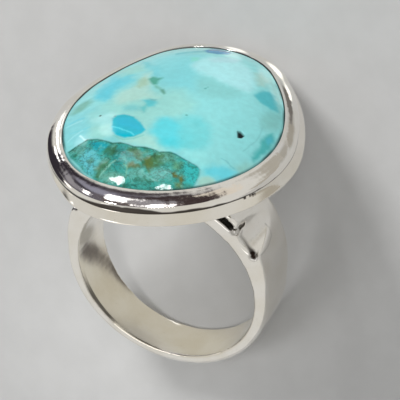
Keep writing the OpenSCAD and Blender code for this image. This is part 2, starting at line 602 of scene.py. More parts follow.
BODY_COLOUR = "#90D9DA"
BODY_PATCHES = (
    Patch("aqua_top", "#84D6DC", 1.04, 0.46, 0.9, ((150, 60), (185, 52), (205, 56), (200, 80), (196, 92),
           (176, 90), (160, 84), (150, 72))),
    Patch("mint_middle", "#9CDAD3", 1.04, 0.58, 0.9, ((100, 108), (118, 96), (150, 92), (185, 92),
           (196, 104), (186, 118), (158, 120), (150, 130), (160, 146), (150, 146), (120, 140), (112, 120))),
    Patch("pale_upper_right", "#ADE6E9", 0.58, 0.35, 0.95, ((191, 66), (196, 60), (214, 57), (236, 60),
           (250, 68), (257, 78), (254, 88), (248, 93), (236, 88), (220, 82), (206, 76), (196, 72))),
    Patch("lavender_haze", "#AED9E0", 0.35, 0.23, 0.7, ((208, 59), (225, 57), (240, 60), (236, 63),
           (215, 63))),
    Patch("spring_spot", "#84DCCB", 0.23, 0.17, 0.8, ((191, 57), (200, 58), (198, 61), (191, 62))),
    Patch("grey_green_shadow", "#86C9C8", 0.69, 0.58, 0.8, ((196, 80), (212, 80), (226, 86), (240, 90),
           (238, 96), (222, 98), (206, 98), (198, 92))),
    Patch("deep_rim_blue", "#1189B4", 0.2, 0.12, 1, ((203.2, 50.7), (215, 49), (232.5, 52.7), (228.1, 54.7),
           (217.2, 54.3), (207.9, 52.8))),
    Patch("rim_shade", "#58B5C0", 0.17, 0.12, 0.7, ((176, 53.5), (206, 50.5), (206, 52.5), (176, 55))),
    Patch("sky_band", "#67CEDC", 0.46, 0.46, 0.95, ((93, 98), (97, 90), (107, 83), (112, 76), (122, 73),
           (132, 75), (134, 80), (124, 86), (116, 92), (110, 98), (104, 102), (97, 101))),
    Patch("sky_band_deep", "#55C8DA", 0.35, 0.35, 0.7, ((98, 98), (101, 91), (112, 84), (120, 78),
           (124, 81), (114, 90), (106, 98))),
    Patch("sky_spot_top", "#66C6CE", 0.35, 0.23, 0.8, ((143, 62), (149, 62), (151, 66), (146, 68),
           (143, 65))),
    Patch("sky_spot_top2", "#74D0DA", 0.46, 0.35, 0.7, ((149, 66), (158, 66), (160, 76), (154, 78),
           (150, 72))),
    Patch("cream_ridge", "#B3DCD0", 0.58, 0.46, 0.85, ((114, 98), (126, 90), (140, 82), (143, 74),
           (150, 72), (152, 78), (150, 90), (158, 98), (146, 98), (132, 102), (120, 104))),
    Patch("beige_stain", "#A3C4A8", 0.35, 0.35, 0.8, ((137, 80), (145, 77), (149, 80), (147, 84), (140, 88),
           (136, 86))),
    Patch("rim_mint", "#95D3C5", 0.46, 0.35, 0.6, ((112, 76), (125, 69), (140, 65), (146, 70), (134, 74),
           (120, 78))),
    Patch("grey_green_rim", "#75B5A8", 0.35, 0.35, 0.95, ((71, 113), (76, 107), (83, 102), (90, 99.5),
           (92, 102), (88, 106), (82, 111), (75, 115.5), (70, 116))),
    Patch("pale_left", "#84D2D9", 0.81, 0.58, 0.8, ((66, 118), (82, 112), (96, 108), (104, 118), (98, 128),
           (84, 138), (72, 146), (65, 140), (63, 128))),
    Patch("mint_left", "#8ACEC8", 0.58, 0.46, 0.7, ((86, 114), (96, 110), (104, 112), (106, 122),
           (100, 132), (92, 126))),
    Patch("mint_left_low", "#A6DFD6", 0.46, 0.35, 0.7, ((90, 128), (110, 124), (112, 136), (100, 138),
           (88, 138))),
    Patch("green_triangle", "#4BA48F", 0.21, 0.23, 0.95, ((148.5, 78.5), (153, 76.8), (158, 78),
           (164, 77.5), (160, 80.5), (157, 84.5), (152.5, 84.5), (150, 82))),
    Patch("green_tail_link", "#74B6A2", 0.21, 0.23, 0.85, ((154, 84.5), (158, 86), (161, 88.5), (160, 90),
           (156, 88.5))),
    Patch("green_tail_end", "#5E9F8B", 0.17, 0.12, 0.9, ((159.5, 90), (164, 89.5), (165.8, 94.2),
           (163.5, 95), (160.5, 92.5))),
    Patch("blue_chip", "#5CC6CE", 0.29, 0.35, 0.95, ((143, 100), (150, 99), (156.5, 101.5), (154, 106),
           (148, 107.5), (145, 106))),
    Patch("blue_chip_edge", "#5FA9AC", 0.14, 0.12, 0.7, ((150.5, 99.5), (157, 99.5), (156, 101.2),
           (151, 101))),
    Patch("teal_chip", "#63C3C4", 0.29, 0.23, 0.9, ((139.5, 107), (146, 105.5), (147, 109), (143, 112.5),
           (140.5, 110.5))),
    Patch("teal_trail", "#79CBCE", 0.35, 0.35, 0.8, ((122, 108), (130, 105.5), (138, 106), (139, 110),
           (131, 111.5), (123, 111))),
    Patch("vivid_cyan", "#02BDD2", 0.16, 0.14, 1, ((111.8, 120), (117.5, 115.5), (125, 114.5), (134, 117),
           (140, 122.5), (144.3, 128), (145.5, 130.5), (142, 133.5), (134, 136.5), (124, 138), (116, 135.5),
           (112, 131))),
    Patch("vivid_cyan_top", "#14AEC0", 0.14, 0.12, 0.6, ((112, 118), (118, 115.5), (126, 115), (134, 117.2),
           (133, 118.5), (124, 117), (116, 118.6), (113, 121))),
    Patch("vivid_cyan_core", "#00BAD8", 0.35, 0.23, 0.7, ((116, 119), (128, 118), (138, 125), (141, 130),
           (128, 127), (118, 124))),
    Patch("light_cyan", "#5CD5E0", 0.58, 0.35, 0.95, ((153, 126), (158, 120), (166, 118), (178, 121),
           (186, 126), (194, 136), (190, 145), (176, 149), (163, 146), (155, 138), (151, 132))),
    Patch("light_cyan_right", "#73D2D6", 0.58, 0.46, 0.85, ((178, 119), (190, 116.5), (202, 118),
           (210, 128), (210, 140), (204, 150), (192, 152), (180, 148))),
    Patch("teal_fleck", "#6BCBD0", 0.35, 0.23, 0.7, ((192, 122), (200, 121), (202, 126), (196, 128))),
    Patch("right_teal", "#5BBDC6", 0.29, 0.35, 0.95, ((254, 95), (262, 91), (270, 92), (276, 96),
           (277, 104), (277.5, 112), (271, 109.5), (262, 104), (256, 99))),
    Patch("right_teal_grey", "#86BEB9", 0.46, 0.46, 0.7, ((268, 78), (274, 84), (279, 94), (280, 110),
           (277, 118), (278, 100), (272, 90))),
    Patch("right_beige", "#A6CDC3", 0.46, 0.46, 0.8, ((256, 74), (264, 74), (268, 82), (266, 88),
           (258, 86))),
    Patch("right_green_grey", "#83C2BE", 0.58, 0.46, 0.75, ((262, 116), (272, 112), (280, 116), (280, 130),
           (272, 134), (262, 128))),
    Patch("lower_right_teal", "#50B2B2", 0.29, 0.35, 0.95, ((252, 157), (258, 150), (262, 141), (268, 135),
           (274, 134), (275, 142), (268, 150), (260, 158), (254, 162))),
    Patch("lower_right_blue_hint", "#55B8CC", 0.23, 0.23, 0.7, ((266, 139), (272, 138), (273, 143),
           (268, 145))),
    Patch("lower_right_green", "#8FC3B7", 0.58, 0.46, 0.7, ((236, 168), (246, 163), (254, 164), (250, 170),
           (240, 178), (230, 180))),
    Patch("blue_lower", "#67D2E0", 0.52, 0.46, 0.9, ((204, 168), (214, 166), (228, 167), (236, 172),
           (232, 179), (222, 182), (214.1, 180), (206, 175))),
    Patch("beige_lower", "#A5D3C6", 0.21, 0.17, 0.95, ((196, 186.5), (198.5, 180), (201, 177), (208, 176.5),
           (214.1, 180), (216, 183.5), (206, 187))),
    Patch("pale_below_middle", "#9AE3E2", 0.58, 0.46, 0.8, ((182, 150), (200, 152), (208, 162), (204, 170),
           (194, 163), (184, 156))),
    Patch("cream_above_matrix", "#B0E2D8", 0.4, 0.35, 0.85, ((120, 140), (134, 139), (146, 136), (152, 138),
           (158, 146), (164, 151), (156, 150), (144, 146), (130, 144))),
)
BODY_THREADS = (
    Thread("streak", "#5FE0EE", 0.09, 0.8, ((113, 126.5), (118, 128), (124, 130), (130, 132.5),
           (134, 135))),
    Thread("left_scratch", "#C4F2F2", 0.09, 0.8, ((79.5, 135.5), (82, 138), (85.5, 139.8), (88, 139.2))),
    Thread("left_line_a", "#A9E9F0", 0.1, 0.5, ((66, 128), (74, 124), (82, 120.5))),
    Thread("left_line_b", "#6DCBDE", 0.12, 0.5, ((70, 124), (78, 120), (84, 118))),
    Thread("left_line_c", "#74D0DC", 0.1, 0.45, ((70, 134), (80, 131), (90, 127))),
    Thread("left_line_d", "#A8E8EE", 0.1, 0.5, ((68, 142), (74, 136), (82, 131))),
    Thread("hairline", "#6FBFC4", 0.07, 0.6, ((222, 158.5), (227, 161.5), (231, 165.5), (234, 168.5))),
    Thread("fine_curve", "#7CC4C5", 0.07, 0.5, ((243, 151), (250, 146), (256, 141), (261, 134),
           (262, 128))),
    Thread("cream_edge", "#77C4B8", 0.08, 0.5, ((113, 136), (122, 139.5), (134, 139), (144, 135.5))),
)
BODY_SPOTS = (
    Spot("dot_left", "#1F4B45", 0.11, 1, (100.4, 115.7)),
    Spot("dot_middle", "#4C9690", 0.11, 0.8, (187.3, 115.7)),
    Spot("dot_upper", "#4F9C98", 0.12, 0.8, (205.5, 89)),
    Spot("dot_upper_b", "#5DAAA4", 0.1, 0.7, (208, 88)),
    Spot("dot_near_cyan", "#4F8F93", 0.12, 0.6, (115.5, 116.5)),
)
WEB_COLOUR = "#4DA79D"
WEB_OUTLINE = ((68, 152), (74, 147.5), (80, 144), (87, 139.3), (98, 138.8), (108, 141), (113, 143),
               (120, 142), (127, 143.5), (134, 146), (145, 147), (155, 149.5), (160, 151.5), (170, 152),
               (175, 153.5), (182, 158), (190, 162), (198, 166), (200.5, 169.5), (199.5, 176), (196.5, 180.9),
               (194, 187), (185, 193), (150, 196), (110, 190), (84, 172), (70, 158))
WEB_PATCHES = (
    Patch("web_left_green", "#72AFA0", 0.29, 0.35, 0.9, ((70, 153), (78, 147), (84, 150), (82, 156),
           (76, 158))),
    Patch("web_left_dark", "#53908A", 0.23, 0.23, 0.8, ((74, 151), (80, 147), (84, 146), (82, 150),
           (77, 154))),
    Patch("web_left_cyan", "#6CC8D2", 0.46, 0.35, 0.95, ((80, 156), (86, 150), (96, 150), (100, 158),
           (97, 166), (92.1, 176), (86, 172), (80, 163))),
    Patch("web_upper_cyan", "#35ABBA", 0.35, 0.35, 0.9, ((90, 142), (98, 139.5), (106, 142), (108, 148),
           (102, 152), (94, 149))),
    Patch("web_left_brown", "#5F9076", 0.23, 0.23, 0.85, ((88, 160), (92, 158), (95, 162), (91, 165))),
    Patch("web_olive_a", "#4A7E62", 0.29, 0.35, 0.95, ((104, 150), (112, 144), (118, 146), (120, 153),
           (116, 158), (108, 156))),
    Patch("web_olive_dark", "#3E6A50", 0.17, 0.17, 0.9, ((112, 150), (118, 149), (119, 155), (114, 156.5))),
    Patch("web_teal_a", "#3F9B98", 0.35, 0.35, 0.9, ((117, 144.5), (126, 145), (127, 152), (122, 160),
           (118, 168), (112, 166), (114, 158), (119, 152))),
    Patch("web_olive_left", "#5A8A68", 0.29, 0.35, 0.9, ((93, 176), (98, 166), (104, 160), (110, 158),
           (108, 166), (102, 174), (98, 180))),
    Patch("web_sage_low", "#7AB5A4", 0.35, 0.35, 0.8, ((100, 178), (108, 170), (120, 172), (126, 180),
           (118, 184), (106, 182))),
    Patch("web_olive_b", "#53805C", 0.29, 0.35, 0.95, ((128, 146), (140, 148), (143, 153), (140, 160),
           (132, 158), (128, 152))),
    Patch("web_light_teal_a", "#439B95", 0.23, 0.23, 0.95, ((128, 155), (133, 153), (136, 156), (134, 160),
           (129, 160.5))),
    Patch("web_brown_mid", "#6B7A4E", 0.23, 0.23, 0.95, ((127, 165), (132, 163), (141, 164), (142, 168),
           (134, 169), (128, 168))),
    Patch("web_pale_spot", "#68A892", 0.17, 0.17, 0.9, ((141, 152.5), (147, 149.5), (149, 151.5),
           (144, 154))),
    Patch("web_olive_c", "#557F54", 0.29, 0.35, 0.95, ((143, 158), (150, 154), (160, 152), (168, 155),
           (164, 163), (156, 166), (150, 172), (145, 168))),
    Patch("web_brown_c", "#66743C", 0.17, 0.23, 0.8, ((146, 158), (151, 157), (152, 168), (149, 171),
           (146, 165))),
    Patch("web_teal_c", "#57ACA2", 0.35, 0.35, 0.9, ((152, 168), (164, 166), (171, 171), (172, 181),
           (160, 185), (150, 178))),
    Patch("web_light_low", "#76BDB1", 0.35, 0.35, 0.85, ((128, 172), (138, 168), (146, 172), (152, 180),
           (140, 182), (130, 178))),
    Patch("web_green_right", "#6AA585", 0.29, 0.35, 0.9, ((172, 160), (178, 162), (180, 168), (176, 172),
           (171, 168))),
    Patch("web_rust_a", "#6E6A28", 0.17, 0.17, 1, ((171, 173), (174, 171.5), (178, 174.5), (175, 176.5),
           (172, 175.5))),
    Patch("web_rust_b", "#76743F", 0.21, 0.23, 0.95, ((177, 176), (181, 174), (184, 179), (182, 184),
           (179, 181))),
    Patch("web_olive_foot", "#75905F", 0.23, 0.23, 0.9, ((176, 183), (182, 183), (183, 188), (178, 189))),
    Patch("web_clear_teal", "#4CC2C2", 0.29, 0.23, 0.95, ((183, 160), (190, 163.5), (198, 168), (198, 178),
           (194, 184), (185.9, 182), (184, 172))),
    Patch("web_sage_mid", "#6A9F8B", 0.29, 0.35, 0.7, ((160, 152), (174, 154), (178, 158), (170, 162),
           (160, 160))),
)
WEB_THREADS = (
    Thread("edge_a", "#35655A", 0.1, 0.8, ((70, 152), (76, 147), (82, 143.5), (88, 139.5), (98, 138.8),
           (108, 141), (113, 143.3), (120, 142.3), (127, 143.8), (134, 146.3), (145, 147.3))),
    Thread("edge_b", "#3E7263", 0.09, 0.7, ((145, 147.3), (155, 149.8), (160, 152), (170, 152.3),
           (175, 153.8))),
    Thread("edge_c", "#327A80", 0.11, 0.85, ((174, 153), (182, 158), (190, 162), (198, 166.3),
           (200.5, 170))),
    Thread("vein_pale", "#9CD8C4", 0.08, 0.7, ((99, 177), (106, 168.5), (112, 163), (116, 160))),
    Thread("vein_b", "#8CC4A8", 0.07, 0.6, ((124, 163.5), (127, 166), (127.5, 171), (126.5, 176))),
    Thread("vein_c", "#83C9BE", 0.08, 0.6, ((143, 170), (146, 176), (151.9, 179.5), (158, 182))),
    Thread("crack_a", "#2F5F50", 0.08, 0.6, ((127, 184.5), (132, 184.5), (136, 187))),
    Thread("crack_b", "#3E6B45", 0.07, 0.6, ((144, 179), (148, 182), (153, 181.5))),
    Thread("dark_a", "#3A6B45", 0.09, 0.6, ((137, 158), (141, 159), (143, 163))),
)
PIT_OUTLINE_MM = ((6.6, -1.37), (6.81, -1.22), (7.29, -1.49), (7.18, -1.99), (6.95, -2.13))


def linear(colour: str) -> Array:
    """Turns a display colour such as #8FD9DA into linear light."""
    value = np.array([int(colour[k:k + 2], 16) for k in (1, 3, 5)]) / 255.0
    return np.where(value <= 0.04045, value / 12.92, ((value + 0.055) / 1.055) ** 2.4)


def opaque(colour: str) -> Quad:
    """Turns a display colour into the four numbers of a colour socket."""
    return (*linear(colour), 1.0)


@dataclass
class StonePainter:
    """Lays the patches, threads and spots of the pattern on points of the stone's face."""

    points: Array
    camera: PhotoCamera
    sizes: HeadSizes
    wave_cell: float = 1.3
    grain_cell: float = 0.45
    thread_edge: Pair = (0.4, 1.5)
    spot_edge: Pair = (0.5, 1.6)
    colours: Array = field(init=False)
    wave: Array = field(init=False)
    grain: Array = field(init=False)

    def __post_init__(self) -> None:
        """Works out the unevenness that every edge shares."""
        self.wave = np.stack([cloud(self.points, self.wave_cell, seed) for seed in (5, 9)], 1)
        self.grain = np.stack([cloud(self.points, self.grain_cell, seed, 2) for seed in (15, 19)], 1)
        self.colours = np.zeros((len(self.points), 3))

    def lay(self, colour: str, mask: Array) -> None:
        """Lays a colour over the face where the mask is above 0."""
        self.colours += (linear(colour) - self.colours) * mask[:, None]

    def cover(self, colour: str, patches: Sequence[Patch], wave_share: float, grain_share: float) -> None:
        """Covers the face with one colour and lays patches over it, in order.

        Args:
            colour: The ground colour.
            patches: The patches.
            wave_share: Share of their raggedness that the broad waves give.
            grain_share: Share that the fine grain gives.
        """
        self.colours = np.tile(linear(colour), (len(self.points), 1))
        uneven = wave_share * self.wave + grain_share * self.grain
        outlines = self.camera.face_paths([patch.outline for patch in patches], self.sizes)
        for patch, outline in zip(patches, outlines):
            depth = depth_inside(self.points + patch.ragged * uneven, outline)
            self.lay(patch.colour, patch.strength * smoothstep(-patch.soft, patch.soft, depth))

    def draw(self, threads: Sequence[Thread], shake: float) -> None:
        """Lays threads over the face.

        Args:
            threads: The threads.
            shake: How far the fine grain shakes them sideways, in millimetres.
        """
        shaken = self.points + shake * self.grain
        paths = self.camera.face_paths([thread.path for thread in threads], self.sizes)
        for thread, path in zip(threads, paths):
            reach = path_distance(shaken, path) / thread.width
            self.lay(thread.colour, thread.strength * (1.0 - smoothstep(*self.thread_edge, reach)))

    def dot(self, spots: Sequence[Spot]) -> None:
        """Lays small round spots over the face.

        Args:
            spots: The spots.
        """
        centres = self.camera.face_places([spot.centre for spot in spots], self.sizes)
        for spot, centre in zip(spots, centres):
            reach = np.linalg.norm(self.points - np.array(centre), axis=1) / spot.radius
            self.lay(spot.colour, spot.strength * (1.0 - smoothstep(*self.spot_edge, reach)))


# shader groups and finishes


class Nodes:
    """Shorthand for building one node tree."""

    def __init__(self, tree: NodeTree) -> None:
        """Takes the tree to build in."""
        self.tree = tree

    def add(self, kind: str, label: str = "", **settings: object) -> Node:
        """Adds a node.

        Args:
            kind: Blender's name of the node type.
            label: What the node is for.
            settings: Properties to set on it.

        Returns:
            The node.
        """
        node = self.tree.nodes.new(kind)
        node.label = label
        for name, value in settings.items():
            setattr(node, name, value)
        return node

    def join(self, source: Socket, target: Socket) -> None:
        """Links an output to an input."""
        self.tree.links.new(source, target)

    def feed(self, socket: Socket, value: object) -> None:
        """Links an output to an input, or sets a number or colour on it.

        Args:
            socket: The input.
            value: Output, number or colour.
        """
        if isinstance(value, Socket):
            self.join(value, socket)
        else:
            socket.default_value = value

    def math(self, operation: str, first: object, second: object = 0.5, label: str = "") -> Socket:
        """Adds a math node whose inputs are numbers or outputs.

        Args:
            operation: Blender's name of the operation.
            first: Number or output.
            second: Number or output.
            label: What the node is for.

        Returns:
            The node's output.
        """
        node = self.add("ShaderNodeMath", label, operation=operation)
        self.feed(node.inputs[0], first)
        self.feed(node.inputs[1], second)
        return node.outputs[0]

    def plus(self, value: object, extra: object, share: object, label: str) -> Socket:
        """Adds a share of one value to another.

        Args:
            value: Number or output to add to.
            extra: Number or output that is added.
            share: How much of it is added.
            label: What is added.

        Returns:
            The sum.
        """
        return self.math("ADD", value, self.math("MULTIPLY", extra, share, label))

    def noise(self, label: str, place: Socket, scale: object, detail: float = 2.0) -> Node:
        """Adds a noise texture.

        Args:
            label: What the noise is for.
            place: Output that gives the place.
            scale: Number or output for its scale.
            detail: How many finer layers it has.

        Returns:
            The texture node.
        """
        node = self.add("ShaderNodeTexNoise", label)
        self.feed(node.inputs["Scale"], scale)
        self.feed(node.inputs["Detail"], detail)
        self.join(place, node.inputs["Vector"])
        return node

    def bump(self, height: Socket, target: Socket) -> None:
        """Gives a shader's normal input a bump whose height is in millimetres.

        Args:
            height: Output that gives the height.
            target: The shader's normal input.
        """
        node = self.add("ShaderNodeBump", "surface")
        node.inputs["Strength"].default_value = 1.0
        node.inputs["Distance"].default_value = MM
        self.join(height, node.inputs["Height"])
        self.join(node.outputs["Normal"], target)

    def spread(self, value: Socket, low: float, high: float,
               to_low: float, to_high: float, label: str = "") -> Socket:
        """Maps one range of a value smoothly to another.

        Args:
            value: The output to map.
            low: Start of the range.
            high: End of the range.
            to_low: Result at the start.
            to_high: Result at the end.
            label: What the node is for.

        Returns:
            The mapped output.
        """
        node = self.add("ShaderNodeMapRange", label, interpolation_type="SMOOTHSTEP")
        self.join(value, node.inputs["Value"])
        for name, number in (("From Min", low), ("From Max", high), ("To Min", to_low), ("To Max", to_high)):
            node.inputs[name].default_value = number
        return node.outputs["Result"]

    def blend(self, share: object, first: object, second: object, label: str = "",
              mode: str = "MIX") -> Socket:
        """Blends two colours.

        Args:
            share: Number or output, 0 for the first colour and 1 for the second.
            first: Colour or output.
            second: Colour or output.
            label: What the node is for.
            mode: Blender's name of the blend mode.

        Returns:
            The blended colour.
        """
        node = self.add("ShaderNodeMix", label, data_type="RGBA", blend_type=mode)
        factor, colour_a, colour_b = 0, 6, 7
        for index, value in ((factor, share), (colour_a, first), (colour_b, second)):
            self.feed(node.inputs[index], value)
        return node.outputs[2]


class SharedGroup(Enum):
    """Shader groups that more than one finish uses."""

    SCRATCHES = "fine_scratches"
    SPECKS = "dust_specks"


def start_group(kind: SharedGroup, inputs: dict[str, float],
                outputs: Sequence[str]) -> tuple[Nodes, Node, Node]:
    """Starts a shader group that takes a place and numbers and gives values.

    Args:
        kind: Which group it is.
        inputs: Name and starting value of each number that it takes.
        outputs: Names of the values that it gives.

    Returns:
        The group's nodes, with its input and output node.
    """
    tree = bpy.data.node_groups.new(kind.value, "ShaderNodeTree")
    tree.interface.new_socket(name="Place", in_out="INPUT", socket_type="NodeSocketVector")
    for name, value in inputs.items():
        socket = tree.interface.new_socket(name=name, in_out="INPUT", socket_type="NodeSocketFloat")
        socket.default_value = value
    for name in outputs:
        tree.interface.new_socket(name=name, in_out="OUTPUT", socket_type="NodeSocketFloat")
    nodes = Nodes(tree)
    return nodes, nodes.add("NodeGroupInput"), nodes.add("NodeGroupOutput")


def build_scratches() -> None:
    """Builds the group of fine wear scratches in two directions."""
    nodes, start, end = start_group(SharedGroup.SCRATCHES, {"Scale": 1.0, "Amount": 1.0}, ("Mask", "Height"))
    masks = []
    for label, turn, stretch in (("lengthways", (0.3, 0.2, 0.7), (1.0, 14.0, 14.0)),
                                 ("crossways", (0.9, -0.4, 2.1), (16.0, 1.4, 16.0))):
        turned = nodes.add("ShaderNodeMapping", label)
        turned.inputs["Rotation"].default_value = turn
        turned.inputs["Scale"].default_value = stretch
        nodes.join(start.outputs["Place"], turned.inputs["Vector"])
        grain = nodes.noise(label, turned.outputs["Vector"], start.outputs["Scale"], 3.0)
        masks.append(nodes.spread(grain.outputs["Fac"], 0.56, 0.72, 0.0, 1.0, label))
    both = nodes.math("MAXIMUM", masks[0], masks[1], "both directions")
    mask = nodes.math("MULTIPLY", both, start.outputs["Amount"], "amount")
    nodes.join(mask, end.inputs["Mask"])
    nodes.join(nodes.math("MULTIPLY", mask, -1.0, "cut in"), end.inputs["Height"])


def build_specks() -> None:
    """Builds the group of scattered dust and pin-prick specks."""
    nodes, start, end = start_group(SharedGroup.SPECKS, {"Scale": 1.0, "Size": 0.1}, ("Mask",))
    cells = nodes.add("ShaderNodeTexVoronoi", "cells")
    nodes.join(start.outputs["Place"], cells.inputs["Vector"])
    nodes.join(start.outputs["Scale"], cells.inputs["Scale"])
    near = nodes.math("LESS_THAN", cells.outputs["Distance"], start.outputs["Size"], "near a cell's middle")
    few = nodes.noise("only here and there", start.outputs["Place"], start.outputs["Scale"], 1.0)
    chosen = nodes.math("GREATER_THAN", few.outputs["Fac"], 0.6, "few")
    nodes.join(nodes.math("MULTIPLY", near, chosen, "specks"), end.inputs["Mask"])


GROUP_BUILDERS = {SharedGroup.SCRATCHES: build_scratches, SharedGroup.SPECKS: build_specks}


def place_group(nodes: Nodes, kind: SharedGroup, place: Socket, **values: float) -> Node:
    """Puts a shared group into a material and builds it first if it isn't there yet.

    Args:
        nodes: The material's tree.
        kind: Which group.
        place: Output that gives the place on the piece.
        values: Numbers for the group's other inputs.

    Returns:
        The group node.
    """
    if kind.value not in bpy.data.node_groups:
        GROUP_BUILDERS[kind]()
    node = nodes.add("ShaderNodeGroup", kind.value)
    node.node_tree = bpy.data.node_groups[kind.value]
    nodes.join(place, node.inputs["Place"])
    for name, value in values.items():
        node.inputs[name].default_value = value
    return node


def millimetres(nodes: Nodes) -> Socket:
    """Adds the place on the piece in millimetres.

    Args:
        nodes: The material's tree.

    Returns:
        The output that gives it.
    """
    place = nodes.add("ShaderNodeTexCoord", "place on the piece")
    scaled = nodes.add("ShaderNodeVectorMath", "in millimetres", operation="SCALE")
    scaled.inputs["Scale"].default_value = 1.0 / MM
    nodes.join(place.outputs["Object"], scaled.inputs[0])
    return scaled.outputs["Vector"]


def new_material(name: str) -> tuple[bpy.types.Material, Nodes, Node]:
    """Starts a material.

    Args:
        name: Its name.

    Returns:
        The material, its nodes and its Principled shader.
    """
    material = bpy.data.materials.new(name)
    material.use_nodes = True
    nodes = Nodes(material.node_tree)
    shader = next(n for n in material.node_tree.nodes if n.type == "BSDF_PRINCIPLED")
    return material, nodes, shader


@dataclass(frozen=True)
class SilverFinish:
    """Worn polished silver, with a mask of tarnish, painted shade and painted dark reflection on the mesh."""

    name: str
    clean: str = "#F0EDE8"
    warm: str = "#DED5C2"
    tarnish_shade_and_reflection: str = "#2A211C"
    roughness: float = 0.2
    smudge: float = 0.1
    smudge_scale: float = 0.35
    scratch_haze: float = 0.08
    tarnish_shade_and_reflection_haze: float = 0.35
    wave_height: float = 0.02
    wave_scale: float = 0.55
    scratch_height: float = 0.0004
    scratch_scale: float = 0.9
    scratch_amount: float = 0.6
    speck_scale: float = 2.2
    speck_size: float = 0.07
    speck_share: float = 0.5
    dimple_height: float = 0.0
    dimple_scale: float = 5.5

    def colour(self, nodes: Nodes, place: Socket, smudges: Node, painted: Node) -> Socket:
        """Adds the colour: clean silver, warm haze, painted tarnish together with painted shade and painted
        dark reflection, and faint specks.

        Args:
            nodes: The material's tree.
            place: Output that gives the place on the piece.
            smudges: Noise of the smudges.
            painted: Tarnish, painted shade and painted dark reflection, stored on the mesh.

        Returns:
            The colour.
        """
        specks = place_group(nodes, SharedGroup.SPECKS, place, Scale=self.speck_scale, Size=self.speck_size)
        warmth = nodes.add("ShaderNodeAttribute", "warm haze painted on", attribute_name="warmth")
        patina = nodes.spread(smudges.outputs["Fac"], 0.3, 0.75, 0.0, 0.35, "patina")
        warm_share = nodes.math("ADD", patina, warmth.outputs["Fac"], "warm share")
        warm = nodes.blend(warm_share, opaque(self.clean), opaque(self.warm), "warm haze")
        faint = nodes.math("MULTIPLY", specks.outputs["Mask"], self.speck_share, "faint")
        dark_share = nodes.math("MAXIMUM", painted.outputs["Fac"], faint, "dark share")
        return nodes.blend(dark_share, warm, opaque(self.tarnish_shade_and_reflection), "tarnish_shade_and_reflection")

    def build(self) -> bpy.types.Material:
        """Builds the finish.

        Returns:
            The material.
        """
        material, nodes, shader = new_material(self.name)
        place = millimetres(nodes)
        smudges = nodes.noise("smudges", place, self.smudge_scale, 4.0)
        scratches = place_group(nodes, SharedGroup.SCRATCHES, place, Scale=self.scratch_scale,
                                Amount=self.scratch_amount)
        # The painted mask holds real tarnish together with painted shade and painted dark reflection.
        painted = nodes.add("ShaderNodeAttribute", "tarnish painted on", attribute_name="tarnish_shade_and_reflection")
        nodes.join(self.colour(nodes, place, smudges, painted), shader.inputs["Base Color"])
        shader.inputs["Metallic"].default_value = 1.0
        rough = nodes.spread(smudges.outputs["Fac"], 0.35, 0.7, self.roughness, self.roughness + self.smudge,
                             "smudged gloss")
        rough = nodes.plus(rough, scratches.outputs["Mask"], self.scratch_haze, "scratch haze")
        rough = nodes.plus(rough, painted.outputs["Fac"], self.tarnish_shade_and_reflection_haze, "dull tarnish")
        nodes.join(rough, shader.inputs["Roughness"])
        wave = nodes.noise("hand-worked surface", place, self.wave_scale)
        dimples = nodes.noise("fine dimples", place, self.dimple_scale, 3.0)
        height = nodes.math("MULTIPLY", wave.outputs["Fac"], self.wave_height, "wave")
        height = nodes.plus(height, scratches.outputs["Height"], self.scratch_height, "scratch")
        height = nodes.plus(height, dimples.outputs["Fac"], self.dimple_height, "dimples")
        nodes.bump(height, shader.inputs["Normal"])
        return material


